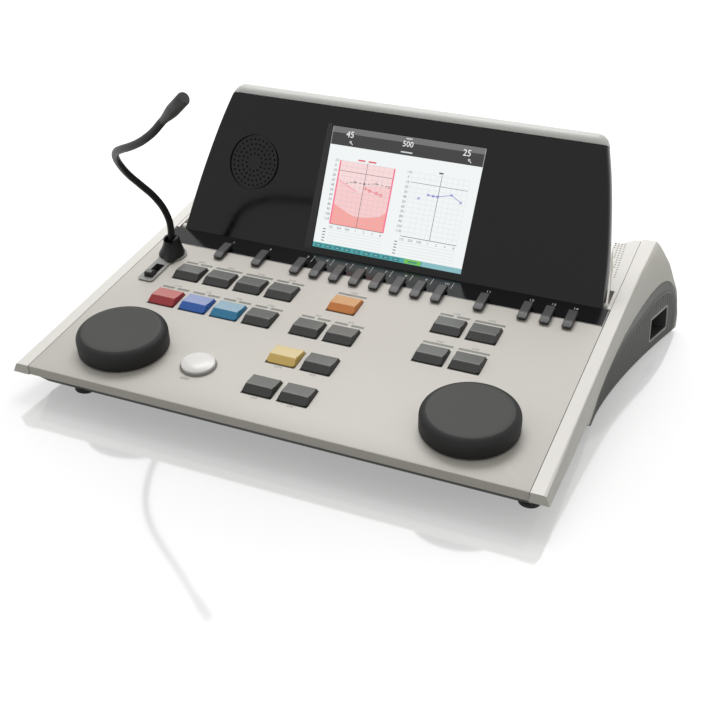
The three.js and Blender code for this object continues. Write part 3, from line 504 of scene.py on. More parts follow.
# Tone button: a dome that falls by a power of the way out, in a grey collar.
def makeToneButton():
    low, high = panelBox("tone_button")
    radius, top, centre = (high - low)[0] / 2, high[2], (low + high)[:2] / 2
    edgeWide, edgeDrop, around = (toneSettings[part] for part in ("edge", "edgeDrop", "around"))
    share = np.linspace(0.02, 0.93, 14)
    fall = (top - toneSettings["domeFoot"]) * share ** toneSettings["domePower"]
    dome = np.stack([radius * share, top - fall], -1)
    edge = arcPoints((radius - edgeWide, dome[-1, 1] - edgeDrop), (edgeWide, edgeDrop), 70, 0, 6)
    points, faces = ringSkin(turnedRings(np.concatenate([dome, edge, [[radius, low[2]]]]), around))
    points[:, :2] += centre
    addPiece("tone_button_dome", points, faces, "tone_white", bodyOfNode["tone_button"], onPanel,
             ("tone_button",), 50)
    inner, outer = radius + toneSettings["gap"], radius + toneSettings["collar"]
    height = toneSettings["collarTop"]
    collar = turnedRings([(inner, 0), (inner, height * 0.8), (inner + 0.2 * mm, height),
                          (outer - 0.4 * mm, height), (outer, height * 0.5), (outer, 0)], around)
    collar[..., :2] += centre
    faces = gridFaces(len(collar), around, True, True)
    addPiece("tone_button_collar", collar, faces, "plate_grey", "body", onPanel)


makeToneButton()
print("dials and tone button made")

# Display: an outline that swells to its middle plane, swept round the edge from the face to the back.
displaySettings = {
    "halfThick": 8.0 * mm, "sideRound": 3.0 * mm, "corner": 9.0 * mm, "seam": 3.0 * mm, "seamGap": 0.3 * mm,
    "halfWide": 161.0 * mm, "face": 103.0 * mm, "footSquare": 14.0 * mm, "cornerStart": 0.92, "rollSteps": 16,
    "taper": ((0, 1), (0.2, 0.99), (0.42, 0.966), (0.64, 0.936), (0.82, 0.907), (0.92, 0.887), (1, 0.87)),
    "window": (2.3 * mm, 4.1 * mm, 115.2 * mm, 86.4 * mm), "windowCorner": 0.9 * mm,
    "faceShares": (0, 0.03, 0.3, 0.65, 0.985), "backShares": (0.98, 0.5, 0.1), "groove": (0.92, 0.995),
    "faceEnd": -0.1 * mm, "crestStart": 0.35 * mm, "faceBevel": 0.15 * mm, "crestBevel": 0.2 * mm,
    "core": (0.975, 0.98), "coreDepths": (2.5 * mm, 1.2 * mm), "coreStart": -3 * mm, "coreLift": 1.5 * mm,
}
taperCurve = np.polyfit(*np.array(displaySettings["taper"]).T, 4)
footCount, sideCount, cornerCount = 27, 25, 9


# Outline at a share of the swelling: a straight foot, sides whose width is a fitted curve of the height, and
# round upper corners. Off the middle plane the sides stand in, by an exponential that is nothing at the foot.
def displayOutline(swell):
    halfThick, face = displaySettings["halfThick"], displaySettings["face"]
    inset, corner = displaySettings["sideRound"] * (1 - swell), displaySettings["corner"]
    low, top = -halfThick * swell, face + halfThick * swell

    def halfWidth(y):
        above = np.maximum(y, 0)
        eased = inset * (1 - np.exp(-above / displaySettings["footSquare"]))
        return displaySettings["halfWide"] * np.polyval(taperCurve, above / face) - eased

    bend = displaySettings["cornerStart"] * face
    lean = math.atan((halfWidth(bend - mm) - halfWidth(bend)) / mm)
    along = np.array([-math.sin(lean), math.cos(lean)])
    start = np.array([halfWidth(bend), bend]) - corner * np.array([math.cos(lean), math.sin(lean)])
    centre = start + along * (top - corner - start[1]) / along[1]
    arc = arcPoints(centre, (corner, corner), math.degrees(lean), 90, cornerCount)
    rise = np.linspace(low, bend, sideCount + 1)[1:]
    side = np.concatenate([np.stack([halfWidth(rise), rise], -1), arc])
    foot = np.stack([np.linspace(-1, 1, footCount) * halfWidth(0), np.full(footCount, low)], -1)
    crest = np.stack([np.linspace(arc[-1, 0], -arc[-1, 0], sideCount)[1:-1], np.full(sideCount - 2, top)], -1)
    return np.concatenate([foot, side, crest, (side * (-1, 1))[::-1]])


# The window's outline, point for point with the display's; half of each corner's points lie on either side.
def windowOutline():
    x, low, width, height = displaySettings["window"]
    left, right, top = x - width / 2, x + width / 2, low + height
    foot = np.stack([np.linspace(left, right, footCount), np.full(footCount, low)], -1)
    rise = np.stack([np.full(sideCount, right), np.linspace(low, top - mm, sideCount + 1)[1:]], -1)
    share = np.arange(cornerCount) / (cornerCount - 1)
    corner = np.stack([right - mm * np.maximum(2 * share - 1, 0),
                       top - displaySettings["windowCorner"] * np.where(share < 0.5, 1 - share, 0)], -1)
    crest = np.stack([np.linspace(right - mm, left + mm, sideCount)[1:-1], np.full(sideCount - 2, top)], -1)
    side = np.concatenate([rise, corner])
    return np.concatenate([foot, side, crest, np.stack([left + right - side[:, 0], side[:, 1]], -1)[::-1]])


def atDepth(outline, z):
    return np.column_stack([outline, np.full(len(outline), z)])


# The roll: depth is the cosine of the sweep, swelling its sine.
def rollRings(first, last, steps):
    halfThick = displaySettings["halfThick"]
    sweep = np.linspace(first, last, steps)
    return [atDepth(displayOutline(math.sin(turn)), halfThick * math.cos(turn)) for turn in sweep]


# What lies below a height on the display's face, or above it, with the cut closed by one flat face.
def halved(mesh, height, above):
    work = bmesh.new()
    work.from_mesh(mesh)
    bmesh.ops.recalc_face_normals(work, faces=work.faces)
    parts = work.verts[:] + work.edges[:] + work.faces[:]
    bmesh.ops.bisect_plane(work, geom=parts, dist=1e-7, plane_co=(0, height, 0), plane_no=(0, 1, 0),
                           clear_outer=not above, clear_inner=above)
    rim = [edge for edge in work.edges if edge.is_boundary]
    bmesh.ops.holes_fill(work, edges=rim, sides=0)
    work.to_mesh(mesh)
    work.free()
    return mesh


# The first mesh less the second, by an exact boolean.
def carved(mesh, cutter):
    work = bmesh.new()
    work.from_mesh(cutter)
    bmesh.ops.recalc_face_normals(work, faces=work.faces)
    work.to_mesh(cutter)
    work.free()
    blank, tool = linked("blank", mesh), linked("cutter", cutter)
    cut = blank.modifiers.new("cut", "BOOLEAN")
    cut.operation, cut.solver, cut.object = "DIFFERENCE", "EXACT", tool
    result = bpy.data.meshes.new_from_object(blank.evaluated_get(bpy.context.evaluated_depsgraph_get()))
    for thing in (blank, tool):
        bpy.data.objects.remove(thing)
    return result


# Round pins on given centres, all in one mesh, from one depth to another.
def pins(centres, radius, low, high, sides):
    turn = np.linspace(0, 2 * math.pi, sides, endpoint=False)
    ring = np.stack([radius * np.cos(turn), radius * np.sin(turn)], -1)
    centres = np.asarray(centres, float)
    flat = (centres[:, None, :] + ring).reshape(-1, 2)
    points = np.concatenate([np.column_stack([flat, np.full(len(flat), z)]) for z in (low, high)])
    faces = []
    for k in range(len(centres)):
        base, lid = k * sides, (k + len(centres)) * sides
        faces += [(base + i, base + (i + 1) % sides, lid + (i + 1) % sides, lid + i) for i in range(sides)]
        faces += [tuple(range(base, base + sides))[::-1], tuple(range(lid, lid + sides))]
    return meshOf("pins", points, faces)


grilleSettings = {
    "centre": (-112.3 * mm, 56.0 * mm), "radius": 18.6 * mm, "seat": 20.1 * mm, "seatDepth": 1.4 * mm,
    "rings": ((6.3, 12, 0.1), (9.7, 18, 0.0), (13.1, 24, 0.06), (16.5, 30, 0.03)), "hole": 0.78 * mm,
    "holeDepth": 1.1 * mm, "proud": 0.05 * mm, "around": 96, "shade": (-0.1 * mm, 0.08 * mm),
}


# Each ring of holes has its radius in mm, its count and the angle of its first hole.
def grilleHoles():
    x, y = grilleSettings["centre"]
    holes = []
    for radius, count, start in grilleSettings["rings"]:
        turn = start + np.arange(count) * 2 * math.pi / count
        holes.append(np.stack([x + radius * mm * np.cos(turn), y + radius * mm * np.sin(turn)], -1))
    return np.concatenate(holes)


def makeDisplay():
    settings = displaySettings
    halfThick, seam, face = (settings[part] for part in ("halfThick", "seam", "face"))
    steps, faceEnd = settings["rollSteps"], face + settings["faceEnd"]
    window, rim = windowOutline(), displayOutline(0)
    middle = rim.mean(0)
    front = [atDepth(window + (rim - window) * share, halfThick) for share in settings["faceShares"]]
    roll = rollRings(0, math.acos(seam / halfThick), steps)
    back = [atDepth(window + (roll[-1][:, :2] - window) * share, seam) for share in (0.9, 0)]
    rings = np.stack(front + roll + back)
    faceMesh = meshOf("display_face", rings, gridFaces(len(rings), len(window), True, True))
    seat = pins([grilleSettings["centre"]], grilleSettings["seat"], halfThick - grilleSettings["seatDepth"],
                halfThick + 3 * mm, grilleSettings["around"])
    faceMesh = carved(halved(faceMesh, faceEnd, False), seat)
    placedPiece("display_face", faceMesh, "gloss_black", "display", onDisplay, ("display_bezel",),
                bevel=settings["faceBevel"])

    behind = seam - settings["seamGap"]
    grooveSwell, grooveWide = settings["groove"]
    groove = atDepth(displayOutline(grooveSwell) * (grooveWide, 1), behind)
    roll = rollRings(math.acos(behind / halfThick), math.pi, steps + 8)
    flat = [atDepth(middle + (rim - middle) * share, -halfThick) for share in settings["backShares"]]
    backMesh = meshOf("display_back", *ringSkin(np.stack([groove] + roll + flat)))
    placedPiece("display_back", halved(backMesh, faceEnd, False), "gloss_black", "display", onDisplay,
                ("display_rear_shell",))

    # The crest over the top edge is light grey: a painted highlight standing for the sheen on the glossy black
    # roll.
    whole = [ring * (1, 1, -1) for ring in flat[::-1]] + rollRings(0, math.pi, 2 * steps) + flat
    crest = halved(meshOf("display_crest", *ringSkin(np.stack(whole))), face + settings["crestStart"], True)
    placedPiece("display_crest", crest, "crest", "display", onDisplay, bevel=settings["crestBevel"])
    behindFace, belowSeam = settings["coreDepths"]
    core = [atDepth(rim * settings["core"], z) for z in (-halfThick + behindFace, seam - belowSeam)]
    core = halved(meshOf("display_core", *ringSkin(np.stack(core))), face + settings["coreStart"], True)
    core.transform(Matrix.Translation((0, settings["coreLift"], 0)))
    placedPiece("display_core", core, "base", "display", onDisplay)


def makeGrille():
    centre, radius, around = ([grilleSettings["centre"]], grilleSettings["radius"], grilleSettings["around"])
    halfThick = displaySettings["halfThick"]
    top = halfThick + grilleSettings["proud"]
    floor = top - grilleSettings["holeDepth"]
    plate = pins(centre, radius, halfThick - grilleSettings["seatDepth"], top, around)
    plate = carved(plate, pins(grilleHoles(), grilleSettings["hole"], floor, top + mm, 14))
    placedPiece("grille_plate", plate, "gloss_black", "display", onDisplay, ("loudspeaker",))
    low, high = grilleSettings["shade"]
    shade = pins(centre, radius - mm, floor + low, floor + high, around // 2)
    placedPiece("grille_shade", shade, "foot", "display", onDisplay)


makeDisplay()
makeGrille()
print("display and grille made")

# The lit picture: flat coloured patches on the LCD, placed in shares of its width and height from the top
# left, each on its own thin layer.
pictureColors = {
    "paper": (0.84, 0.87, 0.87), "header": (0.02, 0.02, 0.02), "headerStrip": (0.14, 0.14, 0.145),
    "white": (0.95, 0.95, 0.95), "lightPink": (0.90, 0.66, 0.66), "pink": (0.90, 0.57, 0.57),
    "salmon": (0.90, 0.35, 0.32), "rose": (0.86, 0.15, 0.27), "grid": (0.50, 0.50, 0.52),
    "ink": (0.10, 0.10, 0.12), "red": (0.72, 0.10, 0.14), "blue": (0.16, 0.16, 0.55),
    "teal": (0.05, 0.34, 0.35), "tealDark": (0.01, 0.17, 0.19), "green": (0.15, 0.50, 0.06),
    "tealPale": (0.22, 0.47, 0.52), "ruled": (0.62, 0.65, 0.66), "frame": (0.30, 0.31, 0.32),
}
pictureSettings = {
    "depth": 0.36 * mm, "layer": 0.04 * mm, "moduleBevel": 0.1 * mm,
    # each block has its left, top, right and foot, its colour and its layer
    "blocks": ((0.003, 0.004, 0.997, 0.996, "paper", 0), (0.003, 0.004, 0.997, 0.15, "header", 1),
               (0.003, 0.004, 0.997, 0.052, "headerStrip", 2), (0.003, 0.955, 0.997, 0.996, "teal", 1),
               (0.625, 0.958, 0.735, 0.993, "green", 2), (0.741, 0.955, 0.997, 0.996, "tealPale", 2)),
    # each figure has its text, its place and its height in mm
    "figures": (("45", 0.125, 0.058, 4.4), ("500", 0.508, 0.064, 3.9), ("25", 0.885, 0.062, 4.4)),
    # each stroke has its points, its width in mm, its colour and its layer
    "strokes": (
        (((0.005, 0.01), (0.005, 0.15)), 0.5, "frame", 3), (((0.995, 0.01), (0.995, 0.15)), 0.5, "frame", 3),
        (((0.47, 0.127), (0.545, 0.127)), 0.9, "ruled", 4), (((0.49, 0.02), (0.53, 0.02)), 0.8, "ruled", 4),
        (((0.208, 0.247), (0.255, 0.247)), 1.1, "red", 5), (((0.276, 0.247), (0.328, 0.247)), 1.1, "red", 5),
        (((0.738, 0.247), (0.766, 0.247)), 1.1, "ink", 5),
        (((0.65, 0.977), (0.71, 0.977)), 0.9, "tealDark", 3)),
    "rings": ((0.135, 0.115), (0.905, 0.112)),
}


class Picture:
    # gathers flat polygons with a colour each; layers stand a little apart so that none share a plane
    def __init__(self):
        self.points, self.faces, self.colors = [], [], []
        x, foot, self.width, self.height = displaySettings["window"]
        self.left, self.top = x - self.width / 2, foot + self.height
        self.level = displaySettings["halfThick"] - pictureSettings["depth"]

    def spot(self, u, v):
        return np.array([self.left + u * self.width, self.top - v * self.height])

    def add(self, flat, color, layer):
        flat = np.asarray(flat, float)
        ahead = np.roll(flat, -1, axis=0)
        if (flat[:, 0] * ahead[:, 1] - ahead[:, 0] * flat[:, 1]).sum() < 0:
            flat = flat[::-1]
        start = len(self.points)
        self.points += [(x, y, self.level + layer * pictureSettings["layer"]) for x, y in flat]
        self.faces.append(tuple(range(start, start + len(flat))))
        self.colors += [(*pictureColors[color], 1)] * len(flat)

    def patch(self, corners, color, layer):
        self.add([self.spot(*corner) for corner in corners], color, layer)

    def block(self, u0, v0, u1, v1, color, layer):
        self.patch([(u0, v0), (u1, v0), (u1, v1), (u0, v1)], color, layer)

    def stroke(self, corners, wide, color, layer):
        # each stretch is a thin quad, half the width to either side
        spots = [self.spot(*corner) for corner in corners]
        for first, last in zip(spots, spots[1:]):
            along = (last - first) / np.linalg.norm(last - first)
            aside = np.array([-along[1], along[0]]) * wide * mm / 2
            self.add([first + aside, last + aside, last - aside, first - aside], color, layer)

    def below(self, line, foot, color, layer):
        # the area between a line and a level under it, as one upright strip for each stretch
        for (u0, v0), (u1, v1) in zip(line, line[1:]):
            self.patch([(u0, v0), (u1, v1), (u1, foot), (u0, foot)], color, layer)

    def ring(self, u, v, radius, wide, color, layer, sides=12):
        turn = np.linspace(0, 2 * math.pi, sides + 1)
        spot = self.spot(u, v)
        rim = np.stack([np.cos(turn), np.sin(turn)], -1)
        inner, outer = spot + rim * (radius - wide) * mm, spot + rim * radius * mm
        for k in range(sides):
            self.add([inner[k], outer[k], outer[k + 1], inner[k + 1]], color, layer)

    def figures(self, text, u, v, size, color, layer):
        for outline in figureFaces(text):
            self.add(self.spot(u, v) + outline * size * mm, color, layer)

    def made(self, name, finish, body, axes):
        mesh = meshOf(name, self.points, self.faces)
        tint = mesh.color_attributes.new("tint", "FLOAT_COLOR", "POINT")
        tint.data.foreach_set("color", np.array(self.colors, float).ravel())
        mesh.transform(axes)
        dressed(name, mesh, finish, body)


figureStore = {}


# Plain figures as flat faces, one unit high, centred on their middle.
def figureFaces(text):
    if text not in figureStore:
        curve = bpy.data.curves.new(text, "FONT")
        curve.body, curve.align_x, curve.align_y, curve.size = text, "CENTER", "CENTER", 1.4
        curve.resolution_u = 2
        holder = bpy.data.objects.new(text, curve)
        flat = holder.to_mesh()
        spots = np.array([vertex.co[:2] for vertex in flat.vertices])
        figureStore[text] = [spots[list(polygon.vertices)] for polygon in flat.polygons]
        holder.to_mesh_clear()
        bpy.data.objects.remove(holder)
        bpy.data.curves.remove(curve)
    return figureStore[text]


def litFinish():
    # the picture's own colours glow; its cover stays nearly black and a little glossy
    finish = Finish("lit picture", (0.02, 0.02, 0.02), 0.35, **{"Emission Strength": 1.0})
    finish.vary("Emission Color", finish.node("ShaderNodeVertexColor", {"layer_name": "tint"}))
    return finish.material


finishes["lit"] = litFinish()
leftChart = {
    "left": 0.093, "right": 0.455, "top": 0.268, "foot": 0.787, "middle": 0.274, "axis": 0.066,
    "grid": "grid", "back": "lightPink", "dash": 0.0145,
    "upper": ((0.094, 0.431), (0.155, 0.455), (0.249, 0.508), (0.274, 0.49), (0.29, 0.439), (0.364, 0.425),
              (0.448, 0.418), (0.455, 0.418)),
    "lower": ((0.094, 0.618), (0.12, 0.635), (0.171, 0.661), (0.205, 0.683), (0.245, 0.696), (0.305, 0.694),
              (0.363, 0.682), (0.39, 0.672), (0.411, 0.665), (0.455, 0.618)),
    "dashed": ((0.153, 0.445), (0.21, 0.424), (0.275, 0.427), (0.353, 0.41), (0.44, 0.42)),
    "slant": ((0.097, 0.42), (0.155, 0.455), (0.235, 0.497)),
    "ringed": ((0.285, 0.46), (0.317, 0.474), (0.366, 0.485), (0.397, 0.494)),
}
rightChart = {
    "left": 0.571, "right": 0.935, "top": 0.27, "foot": 0.783, "middle": 0.76, "axis": 0.55,
    "grid": "ruled", "back": "paper", "cross": (0.008, 0.01), "lone": (0.64, 0.466),
    "crossed": ((0.696, 0.428), (0.729, 0.431), (0.758, 0.43), (0.843, 0.401), (0.908, 0.447)),
}


# A chart: even rows, columns whose places are a power of their share, plain figures and ruled lines below.
def drawChart(picture, chart):
    left, right, top, foot = (chart[part] for part in ("left", "right", "top", "foot"))
    axis, grid = chart["axis"], chart["grid"]
    picture.block(left, top, right, foot, chart["back"], 2)
    rows, columns, heavyRow = 13, 10, 2
    for k in range(rows + 1):
        v = top + (foot - top) * k / rows
        wide, color = (0.32, "ink") if k == heavyRow else (0.16, grid)
        picture.stroke([(left, v), (right, v)], wide, color, 5)
        if k < rows:
            picture.figures(str(10 * k - 10), axis, v + 0.004, 1.9, "ink", 5)
    for k in range(columns + 1):
        u = left + (right - left) * (k / columns) ** 0.92
        picture.stroke([(u, top), (u, foot)], 0.15, grid, 5)
    picture.stroke([(chart["middle"], top - 0.01), (chart["middle"], foot)], 0.35, "ink", 6)
    picture.stroke([(left, foot), (right, foot)], 0.4, "ink", 6)
    for k, text in enumerate(("125", "250", "500", "1", "2", "4", "8")):
        picture.figures(text, left + (right - left) * (0.03 + 0.155 * k), foot + 0.026, 1.7, "ink", 5)
    for k in range(5):
        v = foot + 0.05 + 0.024 * k
        picture.stroke([(left, v), (right, v)], 0.22, "ruled", 3)
        picture.stroke([(axis - 0.012, v), (axis + 0.008, v)], 0.6, "ink", 3)


def drawLeftMarks(picture):
    left, right, top, foot, dash = (leftChart[part] for part in ("left", "right", "top", "foot", "dash"))
    dashed, ringed = leftChart["dashed"], leftChart["ringed"]
    picture.below(leftChart["upper"], foot, "pink", 3)
    picture.below(leftChart["lower"], foot, "salmon", 4)
    for u in (left, right):
        picture.stroke([(u, top), (u, foot)], 1.1, "rose", 6)
    for k in range(0, 20, 2):
        u = dashed[0][0] + dash * k + np.array([0, dash])
        picture.stroke(list(zip(u, np.interp(u, *np.transpose(dashed)))), 0.45, "ink", 7)
    picture.stroke(leftChart["slant"], 0.35, "rose", 7)
    for u, v in ringed:
        picture.ring(u, v, 1.1, 0.4, "red", 7)
    picture.stroke(ringed, 0.35, "red", 7)
    for u, v in dashed[1:]:
        picture.ring(u, v, 0.9, 0.35, "ink", 7)


def drawRightMarks(picture):
    picture.stroke(rightChart["crossed"], 0.4, "blue", 7)
    across, down = rightChart["cross"]
    for u, v in rightChart["crossed"] + (rightChart["lone"],):
        picture.stroke([(u - across, v - down), (u + across, v + down)], 0.45, "blue", 7)
        picture.stroke([(u - across, v + down), (u + across, v - down)], 0.45, "blue", 7)


def makePicture():
    picture = Picture()
    for row in pictureSettings["blocks"]:
        picture.block(*row)
    for row in pictureSettings["figures"]:
        picture.figures(*row, "white", 4)
    for row in pictureSettings["strokes"]:
        picture.stroke(*row)
    for u, v in pictureSettings["rings"]:
        picture.ring(u, v, 0.8, 0.35, "white", 4)
        picture.stroke([(u + 0.006, v + 0.008), (u + 0.016, v + 0.02)], 0.4, "white", 4)
    drawChart(picture, leftChart)
    drawLeftMarks(picture)
    drawChart(picture, rightChart)
    drawRightMarks(picture)
    for k in range(9):
        u = 0.02 + 0.066 * k
        picture.block(u, 0.964, u + 0.045, 0.989, "tealDark", 2)
        picture.stroke([(u + 0.01, 0.977), (u + 0.032, 0.977)], 0.6, "tealPale", 3)
    picture.made("lcd_picture", "lit", "display", onDisplay)
    easedCopy("lcd_module", pictureSettings["moduleBevel"])


makePicture()
print("picture drawn")

windowShadeSettings = {"foot": -1.5 * mm, "top": 1.0 * mm, "footEdge": -6.0 * mm, "topEdge": -3.8 * mm,
                "windowEdge": -0.2 * mm, "behind": -0.2 * mm, "proud": 0.04 * mm}


# A dull black band along the window's left edge, wider at its foot: painted shade on the recessed window's left
# side.
def makeWindowShade():
    x, foot, width, height = displaySettings["window"]
    left, low, high = x - width / 2, foot + windowShadeSettings["foot"], foot + height + windowShadeSettings["top"]
    inner = left + windowShadeSettings["windowEdge"]
    flat = np.array([(left + windowShadeSettings["footEdge"], low), (inner, low), (inner, high),
                     (left + windowShadeSettings["topEdge"], high)])
    face = displaySettings["halfThick"]
    rings = [atDepth(flat, face + windowShadeSettings[depth]) for depth in ("behind", "proud")]
    points, faces = ringSkin(np.stack(rings))
    addPiece("window_mask", points, faces, "base", "display", onDisplay)


makeWindowShade()

# Gooseneck: one smooth tube along a curve through points from its root, each across, to the rear and up.
neckSettings = {
    "centreLine": ((0.2, 0.7, -4), (0, 0, 0), (0.7, -2.4, 14), (-0.8, -7.6, 26.3), (-3.5, -15.6, 37.3),
                   (-6.4, -25.9, 47.4), (-7.9, -37, 57.2), (-6.8, -47.8, 66.9), (-2.8, -58.1, 75.7),
                   (4.6, -67.7, 82.7), (14.7, -76.4, 88.1), (26.2, -83.8, 93.3), (38.2, -89.9, 99.6),
                   (49.8, -94.8, 107.6), (60.08, -99.09, 116.88)),
    "radius": 2.5 * mm, "rootRadius": 3.0 * mm, "rootRun": 6 * mm, "around": 28, "perSpan": 12, "rings": 190,
    "sharp": 60, "bends": ("neck_lower_bend", "neck_upper_bend", "mic_head_bend"),
    # each run has its name, the bodies below and above its joint, how many rings bend to either side of the
    # joint, and the pieces that it stands for
    "runs": (("neck_root_run", "body", "neck_lower_body", 6, ("neck_lower",)),
             ("neck_elbow_run", "neck_lower_body", "neck_upper_body", 16, ("neck_upper",)),
             ("neck_crown_run", "neck_upper_body", "mic_head_body", 4, ())),
}
headSettings = {
    "radius": 3.95 * mm, "length": 26.8 * mm, "tilt": 49.9, "turn": -17.8, "neck": 1.6 * mm,
    "footShare": 0.62, "power": 0.9, "taperEnd": 0.5, "barrelStart": 0.7,
    "end": ((0, -1.6), (-0.25, -1.3), (-0.25, -1.0), (-0.6, -0.4)),
}


# A smooth curve through points: each span is a cubic, whose end slopes are half the chord between the
# neighbours of that end.
def throughPoints(points, perSpan):
    points = np.asarray(points, float)
    padded = np.concatenate([2 * points[:1] - points[1:2], points, 2 * points[-1:] - points[-2:-1]])
    a, b, c, d = padded[:-3, None], padded[1:-2, None], padded[2:-1, None], padded[3:, None]
    t = np.linspace(0, 1, perSpan, endpoint=False)[None, :, None]
    curve = 0.5 * (2 * b + (c - a) * t + (2 * a - 5 * b + 4 * c - d) * t ** 2
                   + (3 * b - a - 3 * c + d) * t ** 3)
    return np.concatenate([curve.reshape(-1, points.shape[1]), points[-1:]])


# A tube round a path: rings square to it, their points by sine and cosine of the way round from the side
# that a fixed direction picks once its part along the path is taken off.
def tubeRings(path, sideways, radii, around):
    along = np.gradient(path, axis=0)
    along /= np.linalg.norm(along, axis=1, keepdims=True)
    sideways = sideways - along * (along @ sideways)[:, None]
    sideways = (sideways / np.linalg.norm(sideways, axis=1, keepdims=True))[:, None]
    outwards = np.cross(along, sideways[:, 0])
    turn = np.linspace(0, 2 * math.pi, around, endpoint=False)[None, :, None]
    radii = np.broadcast_to(radii, len(path))[:, None, None]
    return path[:, None] + radii * (outwards[:, None] * np.cos(turn) + sideways * np.sin(turn))


# The radius swells at the root by a bell curve. Each run ends halfway to the next joint.
def makeNeck():
    settings = neckSettings
    places = [np.array(jointByName[bend]["pos_m"]) for bend in settings["bends"]]
    line = places[0] + throughPoints(np.array(settings["centreLine"]) * mm, settings["perSpan"])
    path, steps = evenPoints(line, settings["rings"])
    swell = np.exp(-(steps / settings["rootRun"]) ** 2)
    radii = settings["radius"] + (settings["rootRadius"] - settings["radius"]) * swell
    rings = tubeRings(path, np.array(jointByName["neck_upper_bend"]["axis"]), radii, settings["around"])
    nearest = [int(np.argmin(np.linalg.norm(path - place, axis=1))) for place in places]
    last = len(path) - 1
    cuts = [0, (nearest[0] + nearest[1]) // 2, (nearest[1] + nearest[2]) // 2, last]
    for k, (name, lower, upper, reach, standsFor) in enumerate(settings["runs"]):
        mesh = meshOf(name, *ringSkin(rings[cuts[k]:cuts[k + 1] + 1]))
        reworked(mesh, edgeSettings["merge"], settings["sharp"])
        mesh.materials.append(finishes["neck_rubber"])
        piece = linked(name, mesh)
        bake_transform(piece)
        if standsFor:
            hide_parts(*standsFor)


# The head widens from the neck by a smooth step to a power, then runs straight to a stepped end.
def makeHead():
    settings = headSettings
    radius, length = settings["radius"], settings["length"]
    axes = (Matrix.Rotation(math.radians(settings["turn"]), 4, "Z")
            @ Matrix.Rotation(math.radians(settings["tilt"]), 4, "Y"))
    axes.translation = Vector(jointByName["mic_head_bend"]["pos_m"])
    share = np.linspace(0, 1, 14)
    swell = settings["footShare"] + (1 - settings["footShare"]) * fade(share, 0, 1) ** settings["power"]
    taper = np.stack([radius * swell, share * settings["taperEnd"] * length], -1)
    barrel = np.concatenate([[(radius, settings["barrelStart"] * length)],
                             np.array(settings["end"]) * mm + (radius, length)])
    points, faces = ringSkin(turnedRings(np.concatenate([[[settings["neck"], 0]], taper, barrel]), 64))
    addPiece("mic_head_shell", points, faces, "head_black", "mic_head_body", axes, ("mic_head",), 40)


makeNeck()
makeHead()
print("gooseneck made")

# Microphone boot: a rubber bell with a corner that reaches forward, and a slot that the neck swings in.
bootSettings = {
    "skirt": 9.5 * mm, "lean": -1.6 * mm, "top": 5.9 * mm, "topRound": 1.7 * mm, "bell": 1.5, "rim": 1.0 * mm,
    "bulge": 4.6 * mm, "bulgeHeading": math.radians(-66), "bulgeWide": 0.36, "bulgeFall": 2.4,
    "slot": 3.4 * mm, "slotFoot": 8.9 * mm, "slotFloor": 1.2 * mm, "slotReach": 30 * mm,
    "around": 112, "bevel": 0.4 * mm,
}


# The radius falls from the skirt to the top as a power of the height left. The corner adds a bell curve of
# the heading, and both it and the skirt's lean to the left fall off with the height. The slot has a narrow
# floor and ends that rise at 45 degrees.
def makeBoot():
    settings = bootSettings
    low, high = panelBox("mic_boot")
    skirt, top, topRound, rim = (settings[part] for part in ("skirt", "top", "topRound", "rim"))
    rise = high[2] - low[2]
    share = np.linspace(0, 1, 22)
    side = np.stack([top + (skirt - top) * (1 - share) ** settings["bell"],
                     low[2] + rim + share * (rise - rim - topRound)], -1)
    cap = arcPoints((top - topRound, high[2] - topRound), (topRound, topRound), 0, 90, 7)[1:]
    profile = np.concatenate([[[skirt, low[2]]], side, cap, [[0.3 * mm, high[2]]]])
    turn = np.linspace(0, 2 * math.pi, settings["around"], endpoint=False)
    near = np.exp(-((turn - settings["bulgeHeading"] - 2 * math.pi) / settings["bulgeWide"]) ** 2)
    fall = np.clip(1 - (profile[:, 1:] - low[2]) / rise, 0, 1) ** settings["bulgeFall"]
    radius = profile[:, :1] + settings["bulge"] * near * fall
    rings = np.stack([radius * np.cos(turn), radius * np.sin(turn), profile[:, 1:] + 0 * turn], -1)
    rings[..., 0] += settings["lean"] * fall
    rings[..., :2] += (low + high)[:2] / 2
    bell = meshOf("mic_boot_bell", *ringSkin(rings))
    x, y = (low + high)[:2] / 2
    half, reach, floor, foot = (settings[part] for part in ("slot", "slotReach", "slotFloor", "slotFoot"))
    rim = foot + reach - floor
    ends = np.array([(-floor, foot), (floor, foot), (reach, rim), (-reach, rim)])
    slot = ringSkin(np.stack([np.insert(ends + (y, 0), 0, across, 1) for across in (x - half, x + half)]))
    placedPiece("mic_boot_bell", carved(bell, meshOf("slot", *slot)), "neck_rubber", "body", onPanel,
                ("mic_boot",), 32, settings["bevel"])


makeBoot()

